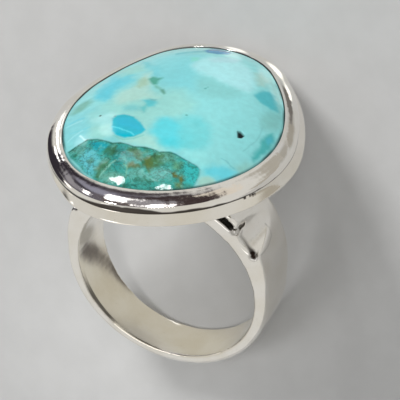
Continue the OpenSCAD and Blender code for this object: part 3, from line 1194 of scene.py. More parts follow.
@dataclass(frozen=True)
class TurquoiseFinish:
    """Polished turquoise whose pattern is painted on the mesh."""

    name: str
    roughness: float = 0.045
    web_roughness: float = 0.05
    web_height: float = 0.005
    gain: Triple = (0.94, 0.97, 0.97)
    veil: float = 0.02
    ior: float = 1.38
    coat: float = 0.15
    coat_roughness: float = 0.025
    vein_strength: float = 0.5
    vein_scale: float = 1.25
    vein_width: float = 0.12
    vein_push: float = 1.5
    vein_colour: str = "#2C4A3A"
    grit_scale: float = 4.5
    grit_strength: float = 0.4
    grit_colour: str = "#2F5A48"
    speck_scale: float = 1.3
    speck_size: float = 0.05
    speck_share: float = 0.35
    speck_colour: str = "#4F9A98"
    scratch_scale: float = 0.7
    scratch_amount: float = 0.5
    scratch_haze: float = 0.05
    pit_haze: float = 0.6

    def veins(self, nodes: Nodes, place: Socket, web: Socket) -> Socket:
        """Adds the fine dark network in the web.

        Args:
            nodes: The material's tree.
            place: Output that gives the place on the stone.
            web: Output that gives the share of web.

        Returns:
            The share of vein colour.
        """
        bend = nodes.noise("bend of the veins", place, 1.4, 3.0)
        push = nodes.add("ShaderNodeVectorMath", "push", operation="MULTIPLY_ADD")
        push.inputs[1].default_value = (self.vein_push,) * 3
        nodes.join(bend.outputs["Color"], push.inputs[0])
        nodes.join(place, push.inputs[2])
        cells = nodes.add("ShaderNodeTexVoronoi", "vein network", feature="DISTANCE_TO_EDGE")
        cells.inputs["Scale"].default_value = self.vein_scale
        nodes.join(push.outputs["Vector"], cells.inputs["Vector"])
        line = nodes.spread(cells.outputs["Distance"], 0.0, self.vein_width, 1.0, 0.0, "thin lines")
        gaps = nodes.noise("gaps in the veins", place, 0.8)
        shown = nodes.spread(gaps.outputs["Fac"], 0.38, 0.62, 0.05, self.vein_strength, "strength")
        return nodes.math("MULTIPLY", nodes.math("MULTIPLY", line, shown), web, "veins in the web")

    def colour(self, nodes: Nodes, place: Socket, grit: Socket, web: Socket) -> Socket:
        """Adds the colour: the painted pattern, clouded, with grit and veins in the web and faint specks.

        Args:
            nodes: The material's tree.
            place: Output that gives the place on the stone.
            grit: Output of the grit's noise.
            web: Output that gives the share of web.

        Returns:
            The colour.
        """
        pattern = nodes.add("ShaderNodeVertexColor", "pattern painted on", layer_name="pattern")
        clouding = nodes.noise("clouding", place, 1.7, 5.0)
        value = nodes.spread(clouding.outputs["Fac"], 0.3, 0.7, 0.96, 1.04, "clouding strength")
        tone = nodes.add("ShaderNodeCombineColor", "clouding tone")
        for socket in tone.inputs:
            nodes.join(value, socket)
        clouded = nodes.blend(1.0, pattern.outputs["Color"], tone.outputs["Color"], "clouded", "MULTIPLY")
        grains = nodes.spread(grit, 0.5, 0.66, 0.0, self.grit_strength, "grit")
        grit_share = nodes.math("MULTIPLY", grains, web, "grit in the web")
        gritty = nodes.blend(grit_share, clouded, opaque(self.grit_colour), "gritty web")
        veined = nodes.blend(self.veins(nodes, place, web), gritty, opaque(self.vein_colour), "veined web")
        specks = place_group(nodes, SharedGroup.SPECKS, place, Scale=self.speck_scale, Size=self.speck_size)
        faint = nodes.math("MULTIPLY", specks.outputs["Mask"], self.speck_share, "faint specks")
        return nodes.blend(faint, veined, opaque(self.speck_colour), "specks")

    def build(self) -> bpy.types.Material:
        """Builds the finish.

        Returns:
            The material.
        """
        material, nodes, shader = new_material(self.name)
        place = millimetres(nodes)
        web = nodes.add("ShaderNodeAttribute", "web painted on", attribute_name="web").outputs["Fac"]
        pit = nodes.add("ShaderNodeAttribute", "pit painted on", attribute_name="pit").outputs["Fac"]
        grit = nodes.noise("web grit", place, self.grit_scale, 4.0).outputs["Fac"]
        nodes.join(self.colour(nodes, place, grit, web), shader.inputs["Base Color"])
        scratches = place_group(nodes, SharedGroup.SCRATCHES, place, Scale=self.scratch_scale,
                                Amount=self.scratch_amount)
        rough = nodes.spread(web, 0.0, 1.0, self.roughness, self.web_roughness, "gloss")
        rough = nodes.plus(rough, scratches.outputs["Mask"], self.scratch_haze, "scratch haze")
        rough = nodes.plus(rough, pit, self.pit_haze, "dull pit")
        nodes.join(rough, shader.inputs["Roughness"])
        shader.inputs["IOR"].default_value = self.ior
        polish = nodes.spread(pit, 0.0, 0.5, self.coat, 0.0, "no polish in the pit")
        nodes.join(polish, shader.inputs["Coat Weight"])
        shader.inputs["Coat Roughness"].default_value = self.coat_roughness
        height = nodes.math("MULTIPLY", nodes.math("MULTIPLY", grit, web), self.web_height, "uneven web")
        nodes.bump(height, shader.inputs["Normal"])
        return material


# the pieces


@dataclass
class BezelHead:
    """Base plate, flared skirt and rolled bezel of the head, swept round its outline.

    Lengths are in millimetres and angles in degrees. A pair named edge is where a soft edge starts and
    where it ends.
    """

    sizes: HeadSizes
    place: RestingPlace
    finish: SilverFinish
    around: int = 900
    foot_in: float = 2.0
    foot_lead: float = 0.16
    foot_edge: float = 0.1
    skirt_steps: int = 9
    skirt_curve: float = 1.25
    skirt_top: float = 0.09
    line_in: float = 0.07
    line_extra: float = 0.02
    line_least: float = 0.004
    line_drop: float = 0.062
    line_lift: float = 0.04
    roll_steps: int = 16
    crown_steps: int = 22
    lip_steps: int = 4
    wave: float = 0.022
    wave_cell: float = 3.2
    ripple: float = 0.012
    ripple_cell: float = 1.1
    uneven_rise: float = 0.3
    stone_clear: float = 0.12
    crisp_middle: float = 280.0
    crisp_reach: float = 46.0
    crisp_fade: float = 8.0
    tuck_middle: float = 222.0
    tuck_reach: float = 24.0
    tuck_by: float = 0.42
    dark_line_edge: Pair = (0.02, 0.07)
    dark_line_drop: float = 0.01
    patch_cell: float = 1.6
    patch_edge: Pair = (-0.1, 0.5)
    patch_least: float = 0.45
    patch_more: float = 0.5
    gap_shade_edge: Pair = (-0.07, -0.01)
    gap_shade_drop: float = 0.03
    gap_shade_strength: float = 0.9
    roll_shade_fade: float = 0.05
    roll_shade_and_nick_strength: float = 0.95
    roll_shade_shake: float = 0.05
    roll_shade_cell: float = 0.7
    roll_shade_drop: float = 0.02
    roll_shade_clear: float = 0.5
    # Angle and top height of the shade painted over the lower part of the rolled edge.
    roll_shade_and_nicks: tuple[Pair, ...] = (
        (240.0, 15.45), (258.0, 15.52), (266.0, 15.66), (272.0, 15.76), (280.0, 15.78), (285.0, 15.7),
        (290.0, 15.5), (300.0, 15.58), (310.0, 15.5), (320.0, 15.4))
    nick_fade: float = 0.07
    nicks: tuple[tuple[Triple, float], ...] = (
        ((9.94, -7.71, 15.26), 0.13), ((10.25, -7.2, 15.24), 0.08), ((10.4, -6.96, 15.22), 0.1),
        ((10.52, -6.75, 15.21), 0.07))
    haze: float = 0.25
    haze_reach: float = 0.1

    def crispness(self, turns: Array) -> Array:
        """How crisp the line under the rolled edge is at each angle, from 0 to 1."""
        off = angle_between(turns, self.crisp_middle)
        return 1.0 - smoothstep(self.crisp_reach - self.crisp_fade, self.crisp_reach + self.crisp_fade, off)

    def inside_stone(self, points: Array) -> Array:
        """How deep points lie inside the stone's outline, below 0 outside it."""
        return depth_inside(points[:, :2], STONE_EDGE.edge(np.arange(0.0, FULL_TURN, 3.0)).tolist())

    def outer(self, turns: Array, out: Array | float, z: Array | float) -> Array:
        """One ring of points round the bezel's outline."""
        return np.column_stack([BEZEL_EDGE.edge(turns, out), np.full(len(turns), 1.0) * z])

    def inner(self, turns: Array, out: float, z: float) -> Array:
        """One ring of points round the stone's outline."""
        return np.column_stack([STONE_EDGE.edge(turns, out), np.full(len(turns), z)])

    def skirt_rings(self, turns: Array) -> list[Array]:
        """Rings of the flared skirt, from the underside up to the line below the rolled edge.

        Args:
            turns: Normal directions of the points in each ring.

        Returns:
            The rings.
        """
        s = self.sizes
        crisp = self.crispness(turns)
        off = angle_between(turns, self.tuck_middle)
        flare = s.skirt_out + s.skirt_lean * np.cos(np.radians(turns - s.lean_angle))
        flare = flare - self.tuck_by * np.exp(-((off / self.tuck_reach) ** 2))
        rings = [self.outer(turns, out, s.head_z) for out in (-self.foot_in, flare - self.foot_lead)]
        for share in (0.25, 0.6, 1.0):
            angle = math.radians(90.0 * share)
            rings.append(self.outer(turns, flare - self.foot_edge * (1.0 - math.sin(angle)),
                                    s.head_z + self.foot_edge * (1.0 - math.cos(angle))))
        low, high = s.head_z + self.foot_edge, s.line_z - self.skirt_top
        for share in np.linspace(0.12, 1.0, self.skirt_steps):
            fall = (1.0 - share) ** self.skirt_curve
            rings.append(self.outer(turns, flare * fall - self.line_in * crisp * share ** 6,
                                    low + (high - low) * share))
        rings.append(self.outer(turns, -(self.line_in + self.line_extra) * crisp - self.line_least,
                                s.line_z - self.line_drop + self.line_lift * crisp))
        return rings

    def bezel_rings(self, turns: Array) -> list[Array]:
        """Rings over the rolled edge and the crown to the lip, then down inside to the seat.

        Args:
            turns: Normal directions of the points in each ring.

        Returns:
            The rings.
        """
        s = self.sizes
        rings = []
        for angle in np.linspace(math.radians(s.roll_from), math.radians(s.roll_end), self.roll_steps):
            rings.append(self.outer(turns, s.roll_r * (math.cos(angle) - 1.0),
                                    s.roll_z + s.roll_r * math.sin(angle)))
        end = math.radians(s.roll_end)
        for angle in np.linspace(end, math.pi / 2, self.crown_steps + 1)[1:]:
            share = 1.0 - math.cos(angle) / math.cos(end)
            z = s.roll_top_z + s.crown_rise * (math.sin(angle) - math.sin(end)) / (1.0 - math.sin(end))
            rings.append((1.0 - share) * self.outer(turns, -s.roll_in, z)
                         + share * self.inner(turns, s.lip_edge, z))
        for angle in np.linspace(0.0, math.pi / 2, self.lip_steps + 1)[1:]:
            rings.append(self.inner(turns, s.lip_edge - s.lip_edge * math.sin(angle),
                                    s.crest_z - s.lip_fall * (1.0 - math.cos(angle))))
        tuck, corner = s.girdle_tuck + s.stone_gap, s.girdle_z + 0.05
        rings += [self.inner(turns, out, z) for out, z in
                  ((0.0, corner), (0.0, s.girdle_z), (tuck, s.girdle_z), (tuck, s.seat_z))]
        return rings

    def build(self) -> bpy.types.Object:
        """Builds the piece and dresses it.

        Returns:
            The piece.
        """
        turns = BEZEL_EDGE.even_turns(self.around)
        mesh = skin_mesh("silver_head", np.array(self.skirt_rings(turns) + self.bezel_rings(turns)))
        points = mesh_points(mesh)
        above = smoothstep(self.sizes.line_z, self.sizes.roll_z + self.uneven_rise, points[:, 2])
        outside = self.inside_stone(points) <= -self.stone_clear
        uneven = self.wave * cloud(points, self.wave_cell, 71, 2)
        uneven = uneven + self.ripple * cloud(points, self.ripple_cell, 73)
        points = points + (uneven * above * outside)[:, None] * mesh_normals(mesh)
        set_points(mesh, self.place.lay(points))
        self.paint(mesh, points)
        return add_piece("silver_head", mesh, self.finish.build(), "silver_mount")

    def paint(self, mesh: Mesh, points: Array) -> None:
        """Paints tarnish into the line under the rolled edge and into the nicks, and painted shade over the
        lower part of the rolled edge and inside the bezel round the stone.

        Args:
            mesh: The head's mesh.
            points: Its vertices in ring axes.
        """
        s = self.sizes
        x, y, z = points.T
        inside = self.inside_stone(points)
        turn = np.degrees(np.arctan2(y, x)) % FULL_TURN
        line = 1.0 - smoothstep(*self.dark_line_edge, np.abs(z - s.line_z + self.dark_line_drop))
        patches = smoothstep(*self.patch_edge, cloud(points, self.patch_cell, 83, 3))
        patchy = self.patch_least + self.patch_more * patches
        # Painted shade over the lower part of the rolled edge, below a height that changes with the angle;
        # the real nicks are added to the same mask.
        shake = self.roll_shade_shake * cloud(points, self.roll_shade_cell, 87, 2)
        top = np.interp(turn, *np.array(self.roll_shade_and_nicks).T) + shake
        above = (z > s.line_z - self.roll_shade_drop) & (inside < -self.roll_shade_clear)
        roll_shade_and_nicks = (1.0 - smoothstep(top - self.roll_shade_fade, top + self.roll_shade_fade, z)) * above
        for centre, reach in self.nicks:
            off = np.linalg.norm(points - np.array(centre), axis=1)
            roll_shade_and_nicks = np.maximum(roll_shade_and_nicks, 1.0 - smoothstep(reach, reach + self.nick_fade, off))
        # Painted shade inside the bezel, in the gap round the stone.
        gap_shade = smoothstep(*self.gap_shade_edge, inside) * (z < s.crest_z - self.gap_shade_drop)
        marked = line * patchy * self.crispness(turn) ** 2 + self.gap_shade_strength * gap_shade
        dark = np.maximum(marked, self.roll_shade_and_nick_strength * roll_shade_and_nicks)
        set_mask(mesh, "tarnish_shade_and_reflection", np.clip(dark, 0.0, 1.0))
        low = 1.0 - smoothstep(s.line_z - self.haze_reach, s.line_z + self.haze_reach, z)
        set_mask(mesh, "warmth", self.haze * low)


def set_mask(mesh: Mesh, name: str, values: Array) -> None:
    """Stores one value for each vertex under that name."""
    mask = mesh.attributes.new(name, "FLOAT", "POINT")
    mask.data.foreach_set("value", values.astype(np.float32))


@dataclass
class Shank:
    """Band and shoulders, taken from the solid, softened as wear softens them.

    Lengths are in millimetres and angles in degrees. A pair named edge is where a soft edge starts and
    where it ends.
    """

    sizes: HeadSizes
    place: RestingPlace
    finish: SilverFinish
    voxel: float = 0.12
    smooth_share: float = 0.5
    smoothing: int = 5
    weld: float = 0.0005
    cut_below: float = 0.03
    into_plate: float = 0.35
    wave: float = 0.018
    wave_cell: float = 3.6
    bead_r: float = 0.36
    bead_at: Triple = (7.22, -3.1, 7.9)
    seam: tuple[Pair, ...] = (
        (7.54, 7.91), (7.51, 7.21), (7.68, 6.87), (7.87, 6.58), (8.07, 6.32), (8.29, 6.09), (8.53, 5.88),
        (8.9, 5.62))
    seam_t: float = 0.05
    seam_fade: float = 0.08
    seam_front_y: float = -2.2
    seam_widens: Pair = (8.2, 8.9)
    seam_darkens: Pair = (7.2, 8.9)
    seam_least: float = 0.35
    seam_more: float = 0.6
    pit_at: Triple = (8.93, -2.95, 5.48)
    pit_edge: Pair = (0.2, 0.32)
    halo_edge: Pair = (0.38, 0.55)
    halo_share: float = 0.4
    loop: tuple[Pair, ...] = ((0.5, 6.8), (0.62, 6.4), (0.37, 5.77), (-0.7, 5.4), (-1.7, 5.38), (-2.49, 5.47))
    loop_edge: Pair = (0.02, 0.09)
    loop_strength: float = 0.3
    band_t: float = 1.15
    band_lift: float = 0.15
    sheet_lift: float = 1.75
    front_y: float = -2.0
    slot_angle: float = 46.0
    slot_reach: float = 9.0
    slot_edge: Pair = (-0.25, 0.05)
    slot_strength: float = 0.4
    rim_edge: Pair = (0.03, 0.11)
    rim_out: float = 0.02
    rim_reflection_strength: float = 0.75
    left_rim: tuple[float, ...] = (-170.0, -150.0, -133.0, -125.0)
    right_rim: tuple[float, ...] = (-50.0, -25.0, 46.0, 54.0)
    right_share: float = 0.7
    bore_haze: float = 0.4
    bore_edge: Pair = (0.1, 0.3)
    bore_low: Pair = (-6.0, 2.0)

    def cut_solid(self) -> Mesh:
        """Copies the mount's solid, cuts the head off and runs the stumps up into the plate.

        Returns:
            A closed mesh in ring axes and millimetres.
        """
        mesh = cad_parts["silver_mount"].data.copy()
        set_points(mesh, self.place.stand(mesh_points(mesh)))
        work = bmesh.new()
        work.from_mesh(mesh)
        bmesh.ops.remove_doubles(work, verts=work.verts, dist=self.weld)
        height = self.sizes.head_z - self.cut_below
        cut = bmesh.ops.bisect_plane(work, geom=work.verts[:] + work.edges[:] + work.faces[:],
                                     plane_co=(0.0, 0.0, height), plane_no=(0.0, 0.0, 1.0), clear_outer=True)
        rim = [e for e in cut["geom_cut"] if isinstance(e, bmesh.types.BMEdge) and e.is_boundary]
        raised = bmesh.ops.extrude_edge_only(work, edges=rim)["geom"]
        tops = [v for v in raised if isinstance(v, bmesh.types.BMVert)]
        bmesh.ops.translate(work, verts=tops, vec=(0.0, 0.0, self.into_plate))
        edges = [e for e in raised if isinstance(e, bmesh.types.BMEdge) and e.is_boundary]
        bmesh.ops.holes_fill(work, edges=edges)
        bmesh.ops.recalc_face_normals(work, faces=work.faces)
        work.to_mesh(mesh)
        work.free()
        return mesh

    def soften(self, mesh: Mesh) -> Mesh:
        """Remeshes a closed mesh evenly and smooths its edges.

        Args:
            mesh: The closed mesh.

        Returns:
            The softened mesh.
        """
        holder = bpy.data.objects.new("shank_work", mesh)
        bpy.context.scene.collection.objects.link(holder)
        even = holder.modifiers.new("even", "REMESH")
        even.mode = "VOXEL"
        even.voxel_size = self.voxel
        soft = holder.modifiers.new("soft", "SMOOTH")
        soft.factor = self.smooth_share
        soft.iterations = self.smoothing
        graph = bpy.context.evaluated_depsgraph_get()
        result = bpy.data.meshes.new_from_object(holder.evaluated_get(graph))
        bpy.data.objects.remove(holder)
        result.name = "silver_shank"
        result.materials.clear()
        result.polygons.foreach_set("use_smooth", np.ones(len(result.polygons), bool))
        return result

    def add_bead(self, mesh: Mesh) -> None:
        """Sets the small round bead of solder at the lower end of the right slot.

        Args:
            mesh: The shank's mesh in ring axes.
        """
        work = bmesh.new()
        work.from_mesh(mesh)
        made = bmesh.ops.create_icosphere(work, subdivisions=4, radius=self.bead_r,
                                          matrix=Matrix.Translation(self.bead_at))
        for vertex in made["verts"]:
            for face in vertex.link_faces:
                face.smooth = True
        work.to_mesh(mesh)
        work.free()

    def build(self) -> bpy.types.Object:
        """Builds the piece and dresses it.

        Returns:
            The piece.
        """
        mesh = self.soften(self.cut_solid())
        self.add_bead(mesh)
        points = mesh_points(mesh)
        points = points + (self.wave * cloud(points, self.wave_cell, 91, 2))[:, None] * mesh_normals(mesh)
        set_points(mesh, self.place.lay(points))
        dark = self.seam_mask(points) + self.pit_mask(points) + self.loop_mask(points)
        # The rim's share is a painted dark reflection; seam, pit, loop and slot are tarnish.
        dark = dark + self.slot_mask(points) + self.rim_reflection_mask(points)
        set_mask(mesh, "tarnish_shade_and_reflection", np.clip(dark, 0.0, 1.0))
        bore = 1.0 - smoothstep(*self.bore_edge, np.hypot(points[:, 0], points[:, 2]) - self.sizes.finger_r)
        low = 1.0 - smoothstep(*self.bore_low, points[:, 2])
        set_mask(mesh, "warmth", self.bore_haze * bore * low)
        return add_piece("silver_shank", mesh, self.finish.build(), "silver_mount")

    def seam_mask(self, points: Array) -> Array:
        """Where the dark seam between band and sheet shows, deeper towards its lower end.

        Args:
            points: Vertices in ring axes.

        Returns:
            A share of tarnish for each.
        """
        side = np.abs(points[:, 0])
        thick = self.seam_t * smoothstep(*self.seam_widens, side)
        reach = path_distance(np.column_stack([side, points[:, 2]]), self.seam)
        shown = (1.0 - smoothstep(thick, thick + self.seam_fade, reach)) * (points[:, 1] < self.seam_front_y)
        return shown * (self.seam_least + self.seam_more * smoothstep(*self.seam_darkens, side))

    def pit_mask(self, points: Array) -> Array:
        """Where the small pit at the seam's lower end shows, with the halo round it.

        Args:
            points: Vertices in ring axes.

        Returns:
            A share of tarnish for each.
        """
        off = np.linalg.norm(points - np.array(self.pit_at), axis=1)
        core = (1.0 - self.halo_share) * smoothstep(*self.pit_edge, off)
        return 1.0 - core - self.halo_share * smoothstep(*self.halo_edge, off)

    def loop_mask(self, points: Array) -> Array:
        """Where the fine curved line on the right shoulder shows."""
        reach = path_distance(points[:, 1:], self.loop)
        return self.loop_strength * (1.0 - smoothstep(*self.loop_edge, reach)) * (points[:, 0] > 7.5)

    def slot_mask(self, points: Array) -> Array:
        """Where the walls of the right slot, between band and sheet, are dull.

        Args:
            points: Vertices in ring axes.

        Returns:
            A share of tarnish for each.
        """
        x, _, z = points.T
        band_r = self.sizes.finger_r + self.band_t
        beyond = np.hypot(x, z - self.band_lift) - band_r
        angle = np.degrees(np.arctan2(z - self.band_lift, np.abs(x)))
        within = (x > 0.0) & (x < self.slot_reach) & (angle > self.slot_angle)
        within = within & (np.hypot(x, z - self.sheet_lift) < band_r - 0.3)
        return self.slot_strength * smoothstep(*self.slot_edge, beyond) * within

    def rim_reflection_mask(self, points: Array) -> Array:
        """Where a dark reflection is painted on the front rim of the finger hole, in one stretch on each
        side.

        Args:
            points: Vertices in ring axes.

        Returns:
            A share of painted dark reflection for each.
        """
        x, y, z = points.T
        turn = np.degrees(np.arctan2(z, x))
        off = np.abs(np.hypot(x, z) - self.sizes.finger_r - self.rim_out)
        rim = (1.0 - smoothstep(*self.rim_edge, off)) * (y < self.front_y)
        left, right = (smoothstep(a, b, turn) * (1.0 - smoothstep(c, d, turn))
                       for a, b, c, d in (self.left_rim, self.right_rim))
        return self.rim_reflection_strength * rim * (left + self.right_share * right * (x > 0.0))


@dataclass
class Cabochon:
    """The turquoise: a low dome whose girdle sits under the bezel's lip."""

    sizes: HeadSizes
    place: RestingPlace
    camera: PhotoCamera
    finish: TurquoiseFinish
    around: int = 640
    steps: int = 124
    middle_share: float = 0.004
    spacing_power: float = 0.8
    crown: float = 0.1
    crown_from_to: Pair = (2.0, 11.0)
    pit_depth: float = 0.22
    pit_edge: Pair = (-0.09, 0.05)
    web_uneven: float = 0.02
    web_cell: float = 0.9
    web_edge: Pair = (-0.08, 0.1)
    left_shade: float = 0.12
    shade_edge: Pair = (-3.0, 3.0)
    darkest: float = 0.004
    edge_shade_reach: Pair = (0.1, 0.3)
    edge_shade_strength: float = 0.85
    edge_shade_cell: float = 2.2
    edge_shade_gaps: Pair = (-0.6, 0.4)
    edge_shade_colour: str = "#1E4440"
    pit_colour: str = "#061012"
    knot_cell: float = 0.38
    clump_cell: float = 0.7
    clump_edge: Pair = (-0.3, 0.3)
    knot_dark: str = "#3F6B4C"
    knot_dark_edge: Pair = (0.15, 0.55)
    knot_dark_share: float = 0.55
    knot_pale: str = "#79C9C0"
    knot_pale_edge: Pair = (0.2, 0.6)
    knot_pale_share: float = 0.45

    def dome_height(self, depth: Array) -> Array:
        """Returns the height of the dome at each depth in from the outline of the stone."""
        return self.sizes.arc_height(depth) + self.crown * smoothstep(*self.crown_from_to, depth)

    def face_points(self) -> Array:
        """Rings of points over the dome, from its middle to its edge.

        Returns:
            An array of rings, points and coordinates.
        """
        edge = STONE_EDGE.edge(STONE_EDGE.even_turns(self.around), -self.sizes.stone_gap)
        middle = edge.mean(0)
        shares = np.linspace(self.middle_share, 1.0, self.steps) ** self.spacing_power
        return middle + shares[:, None, None] * (edge - middle)

    def build(self) -> bpy.types.Object:
        """Builds the piece and dresses it.

        Returns:
            The piece.
        """
        s = self.sizes
        flat = self.face_points()
        points = flat.reshape(-1, 2)
        outline = STONE_EDGE.edge(STONE_EDGE.even_turns(360)).tolist()
        depth = path_distance(points, outline, closed=True)
        pit = smoothstep(*self.pit_edge, depth_inside(points, PIT_OUTLINE_MM))
        web = smoothstep(*self.web_edge, depth_inside(points, self.camera.face_places(WEB_OUTLINE, s)))
        uneven = self.web_uneven * web * cloud(points, self.web_cell, 61, 2)
        height = self.dome_height(depth) + uneven - self.pit_depth * pit
        dome = np.column_stack([points, height]).reshape(*flat.shape[:2], 3)
        turns = STONE_EDGE.even_turns(self.around)
        top, foot = s.girdle_z - s.stone_gap, s.seat_z + s.stone_gap
        below = [np.column_stack([STONE_EDGE.edge(turns, out), np.full(len(turns), z)])
                 for out, z in ((-s.stone_gap, top), (s.girdle_tuck, top), (s.girdle_tuck, foot))]
        mesh = skin_mesh("turquoise_stone", np.concatenate([dome, np.array(below)]))
        self.paint(mesh, self.pattern(points, depth, pit, web))
        for name, mask in (("web", web * (1.0 - pit)), ("pit", pit)):
            set_mask(mesh, name, np.concatenate([mask, np.zeros(len(mesh.vertices) - len(mask))]))
        set_points(mesh, self.place.lay(mesh_points(mesh)))
        return add_piece("turquoise_stone", mesh, self.finish.build(), "turquoise_cabochon")

    def body_colours(self, points: Array) -> Array:
        """Colours of the pale body of the stone.

        Args:
            points: Flat places on the face.

        Returns:
            One colour for each.
        """
        body = StonePainter(points, self.camera, self.sizes)
        body.cover(BODY_COLOUR, BODY_PATCHES, 0.6, 0.3)
        body.draw(BODY_THREADS, 0.05)
        body.dot(BODY_SPOTS)
        return body.colours

    def web_colours(self, points: Array) -> Array:
        """Colours of the darker webbed corner, with its knots.

        Args:
            points: Flat places on the face.

        Returns:
            One colour for each.
        """
        webbed = StonePainter(points, self.camera, self.sizes)
        webbed.cover(WEB_COLOUR, WEB_PATCHES, 0.8, 0.8)
        knots = cloud(points, self.knot_cell, 41)
        clumps = smoothstep(*self.clump_edge, cloud(points, self.clump_cell, 47, 2))
        webbed.lay(self.knot_dark, self.knot_dark_share * smoothstep(*self.knot_dark_edge, knots) * clumps)
        webbed.lay(self.knot_pale, self.knot_pale_share * smoothstep(*self.knot_pale_edge, -knots))
        webbed.draw(WEB_THREADS, 0.09)
        return webbed.colours

    def pattern(self, points: Array, depth: Array, pit: Array, web: Array) -> Array:
        """Works out the colours of the stone's face.

        Args:
            points: Flat places of the dome's vertices.
            depth: How far in from the outline each is.
            pit: Share of the dark pit at each.
            web: Share of the darker webbed area at each.

        Returns:
            One colour for each, in linear light.
        """
        body = self.body_colours(points)
        colours = body + (self.web_colours(points) - body) * web[:, None]
        # Painted shade: the colours darken towards the stone's left side.
        colours = colours * (1.0 - self.left_shade * smoothstep(*self.shade_edge, -points[:, 0]))[:, None]
        colours = np.clip(colours * np.array(self.finish.gain) - self.finish.veil, self.darkest, 1.0)
        # Painted shade: a dark line along the stone's edge where it meets the lip, broken by gaps.
        shown = smoothstep(*self.edge_shade_gaps, cloud(points, self.edge_shade_cell, 53, 2))
        seam = (1.0 - smoothstep(*self.edge_shade_reach, depth)) * shown
        for colour, share in ((self.edge_shade_colour, self.edge_shade_strength * seam), (self.pit_colour, pit)):
            colours += (linear(colour) - colours) * share[:, None]
        return colours

    def paint(self, mesh: Mesh, colours: Array) -> None:
        """Stores the face's colours on the mesh and the body colour on the rest of it.

        Args:
            mesh: The stone's mesh, whose first vertices are the dome's.
            colours: One colour for each vertex of the dome.
        """
        full = np.tile(opaque(BODY_COLOUR), (len(mesh.vertices), 1))
        full[:len(colours), :3] = colours
        layer = mesh.color_attributes.new("pattern", "FLOAT_COLOR", "POINT")
        layer.data.foreach_set("color", full.astype(np.float32).ravel())


# floor and light


def facing(azimuth: float, elevation: float) -> Triple:
    """Direction in the frame at an azimuth (from +Y towards +X) and an elevation, both in degrees."""
    az, el = math.radians(azimuth), math.radians(elevation)
    return math.sin(az) * math.cos(el), math.cos(az) * math.cos(el), math.sin(el)


@dataclass(frozen=True)
class SoftBox:
    """A rectangular studio light that faces the ring; angles in degrees, lengths in metres."""

    name: str
    azimuth: float
    elevation: float
    distance: float
    width: float
    height: float
    power: float
    target: Triple = (0.0, 0.002, 0.012)

    def build(self) -> bpy.types.Object:
        """Places the light so that it faces its target.

        Returns:
            The light.
        """
        data = bpy.data.lights.new(self.name, "AREA")
        data.shape = "RECTANGLE"
        data.size, data.size_y = self.width, self.height
        data.energy = self.power
        light = bpy.data.objects.new(self.name, data)
        bpy.context.scene.collection.objects.link(light)
        towards = Vector(facing(self.azimuth, self.elevation))
        light.location = Vector(self.target) + towards * self.distance
        light.rotation_euler = towards.to_track_quat("Z", "Y").to_euler()
        light.visible_glossy = False
        return light


@dataclass(frozen=True)
class Region:
    """A soft-edged region of the surroundings that the metal mirrors, made of round spots.

    Each spot has its azimuth, its elevation, its radius and the half width of its soft edge, in degrees.
    """

    name: str
    colour: Triple
    spots: tuple[Quad, ...]


DARK, BRIGHT, HAZE = (0.035, 0.03, 0.04), (2.6, 2.6, 2.7), (0.32, 0.31, 0.34)
REGIONS = (
    Region("grey wall behind and on the right", (0.45, 0.43, 0.385), (
        (-6.0, -22.0, 6.0, 3.0), (5.0, -20.0, 7.0, 3.0), (19.0, -18.0, 8.0, 3.0), (38.0, -15.0, 11.0, 4.0),
        (60.0, -14.0, 12.0, 4.0))),
    Region("dim side", (0.14, 0.13, 0.16), ((-30.0, 17.0, 32.0, 4.0),)),
    Region("dim side's right part", (0.14, 0.115, 0.115), ((-8.0, 12.0, 17.0, 3.0),)),
    Region("grey haze on the left", HAZE, ((-43.0, 5.0, 8.0, 4.0),)),
    Region("dark corner, side and edge", DARK, (
        (-80.0, -10.0, 24.0, 5.0), (-57.0, -4.0, 9.0, 3.0), (-45.0, -5.0, 4.0, 2.0), (-37.0, -10.0, 4.5, 2.5),
        (-29.0, -13.0, 4.0, 2.5))),
    Region("end of the dark edge", (0.07, 0.06, 0.07), ((-21.0, -14.0, 3.0, 2.0),)),
    Region("dark strip beside the window", (0.06, 0.055, 0.07), ((-32.0, 3.0, 3.5, 2.0),)),
    Region("blue haze beside the window", (0.3, 0.3, 0.38), ((-25.5, -2.0, 4.5, 3.0),)),
    Region("haze between the windows", HAZE, ((-12.0, 5.0, 6.0, 4.0),)),
    Region("brown bar", (0.05, 0.036, 0.038), (
        (-14.0, -6.0, 3.5, 2.0), (-8.0, -1.5, 4.0, 2.0), (-2.0, 3.0, 4.5, 2.0), (4.0, 8.0, 4.5, 2.0))),
    Region("cream strip", (0.76, 0.7, 0.62), (
        (-7.5, -7.5, 2.6, 1.8), (-2.0, -5.2, 3.0, 1.8), (4.0, -2.6, 3.0, 1.8), (9.5, 0.5, 3.0, 1.8))),
    Region("window", (34.0, 34.0, 34.0), ((-20.5, 24.5, 3.0, 0.5),)),
    Region("window's lower panes", BRIGHT, ((-19.5, 8.0, 3.4, 1.2), (-19.5, 1.5, 3.2, 1.5))),
    Region("far window", (28.0, 28.0, 28.0), ((0.5, 25.0, 2.6, 0.5),)),
    Region("far window's lower pane", BRIGHT, ((-7.0, 14.0, 4.3, 1.3),)),
    Region("streak left of the window", BRIGHT, ((-34.0, 13.0, 1.8, 1.0), (-31.5, 9.0, 1.6, 1.0))),
    Region("pale wall on the left", BRIGHT, (
        (-41.0, -24.0, 5.0, 2.0), (-37.0, -17.0, 2.6, 1.5), (-47.0, -11.0, 3.0, 1.5))),
    Region("left window", (2.0, 2.0, 2.0), ((-82.0, 17.0, 5.0, 4.0),)),
    Region("window overhead", (1.6, 1.6, 1.6), ((-172.0, 58.0, 16.0, 3.0),)),
    Region("pane straight above", BRIGHT, ((-90.0, 76.0, 10.0, 3.0),)),
)


@dataclass(frozen=True)
class Card:
    """A round reflector card lying on the floor, seen by the metal only; lengths in millimetres."""

    name: str
    x: float
    y: float
    radius: float
    soft: float
    colour: Triple


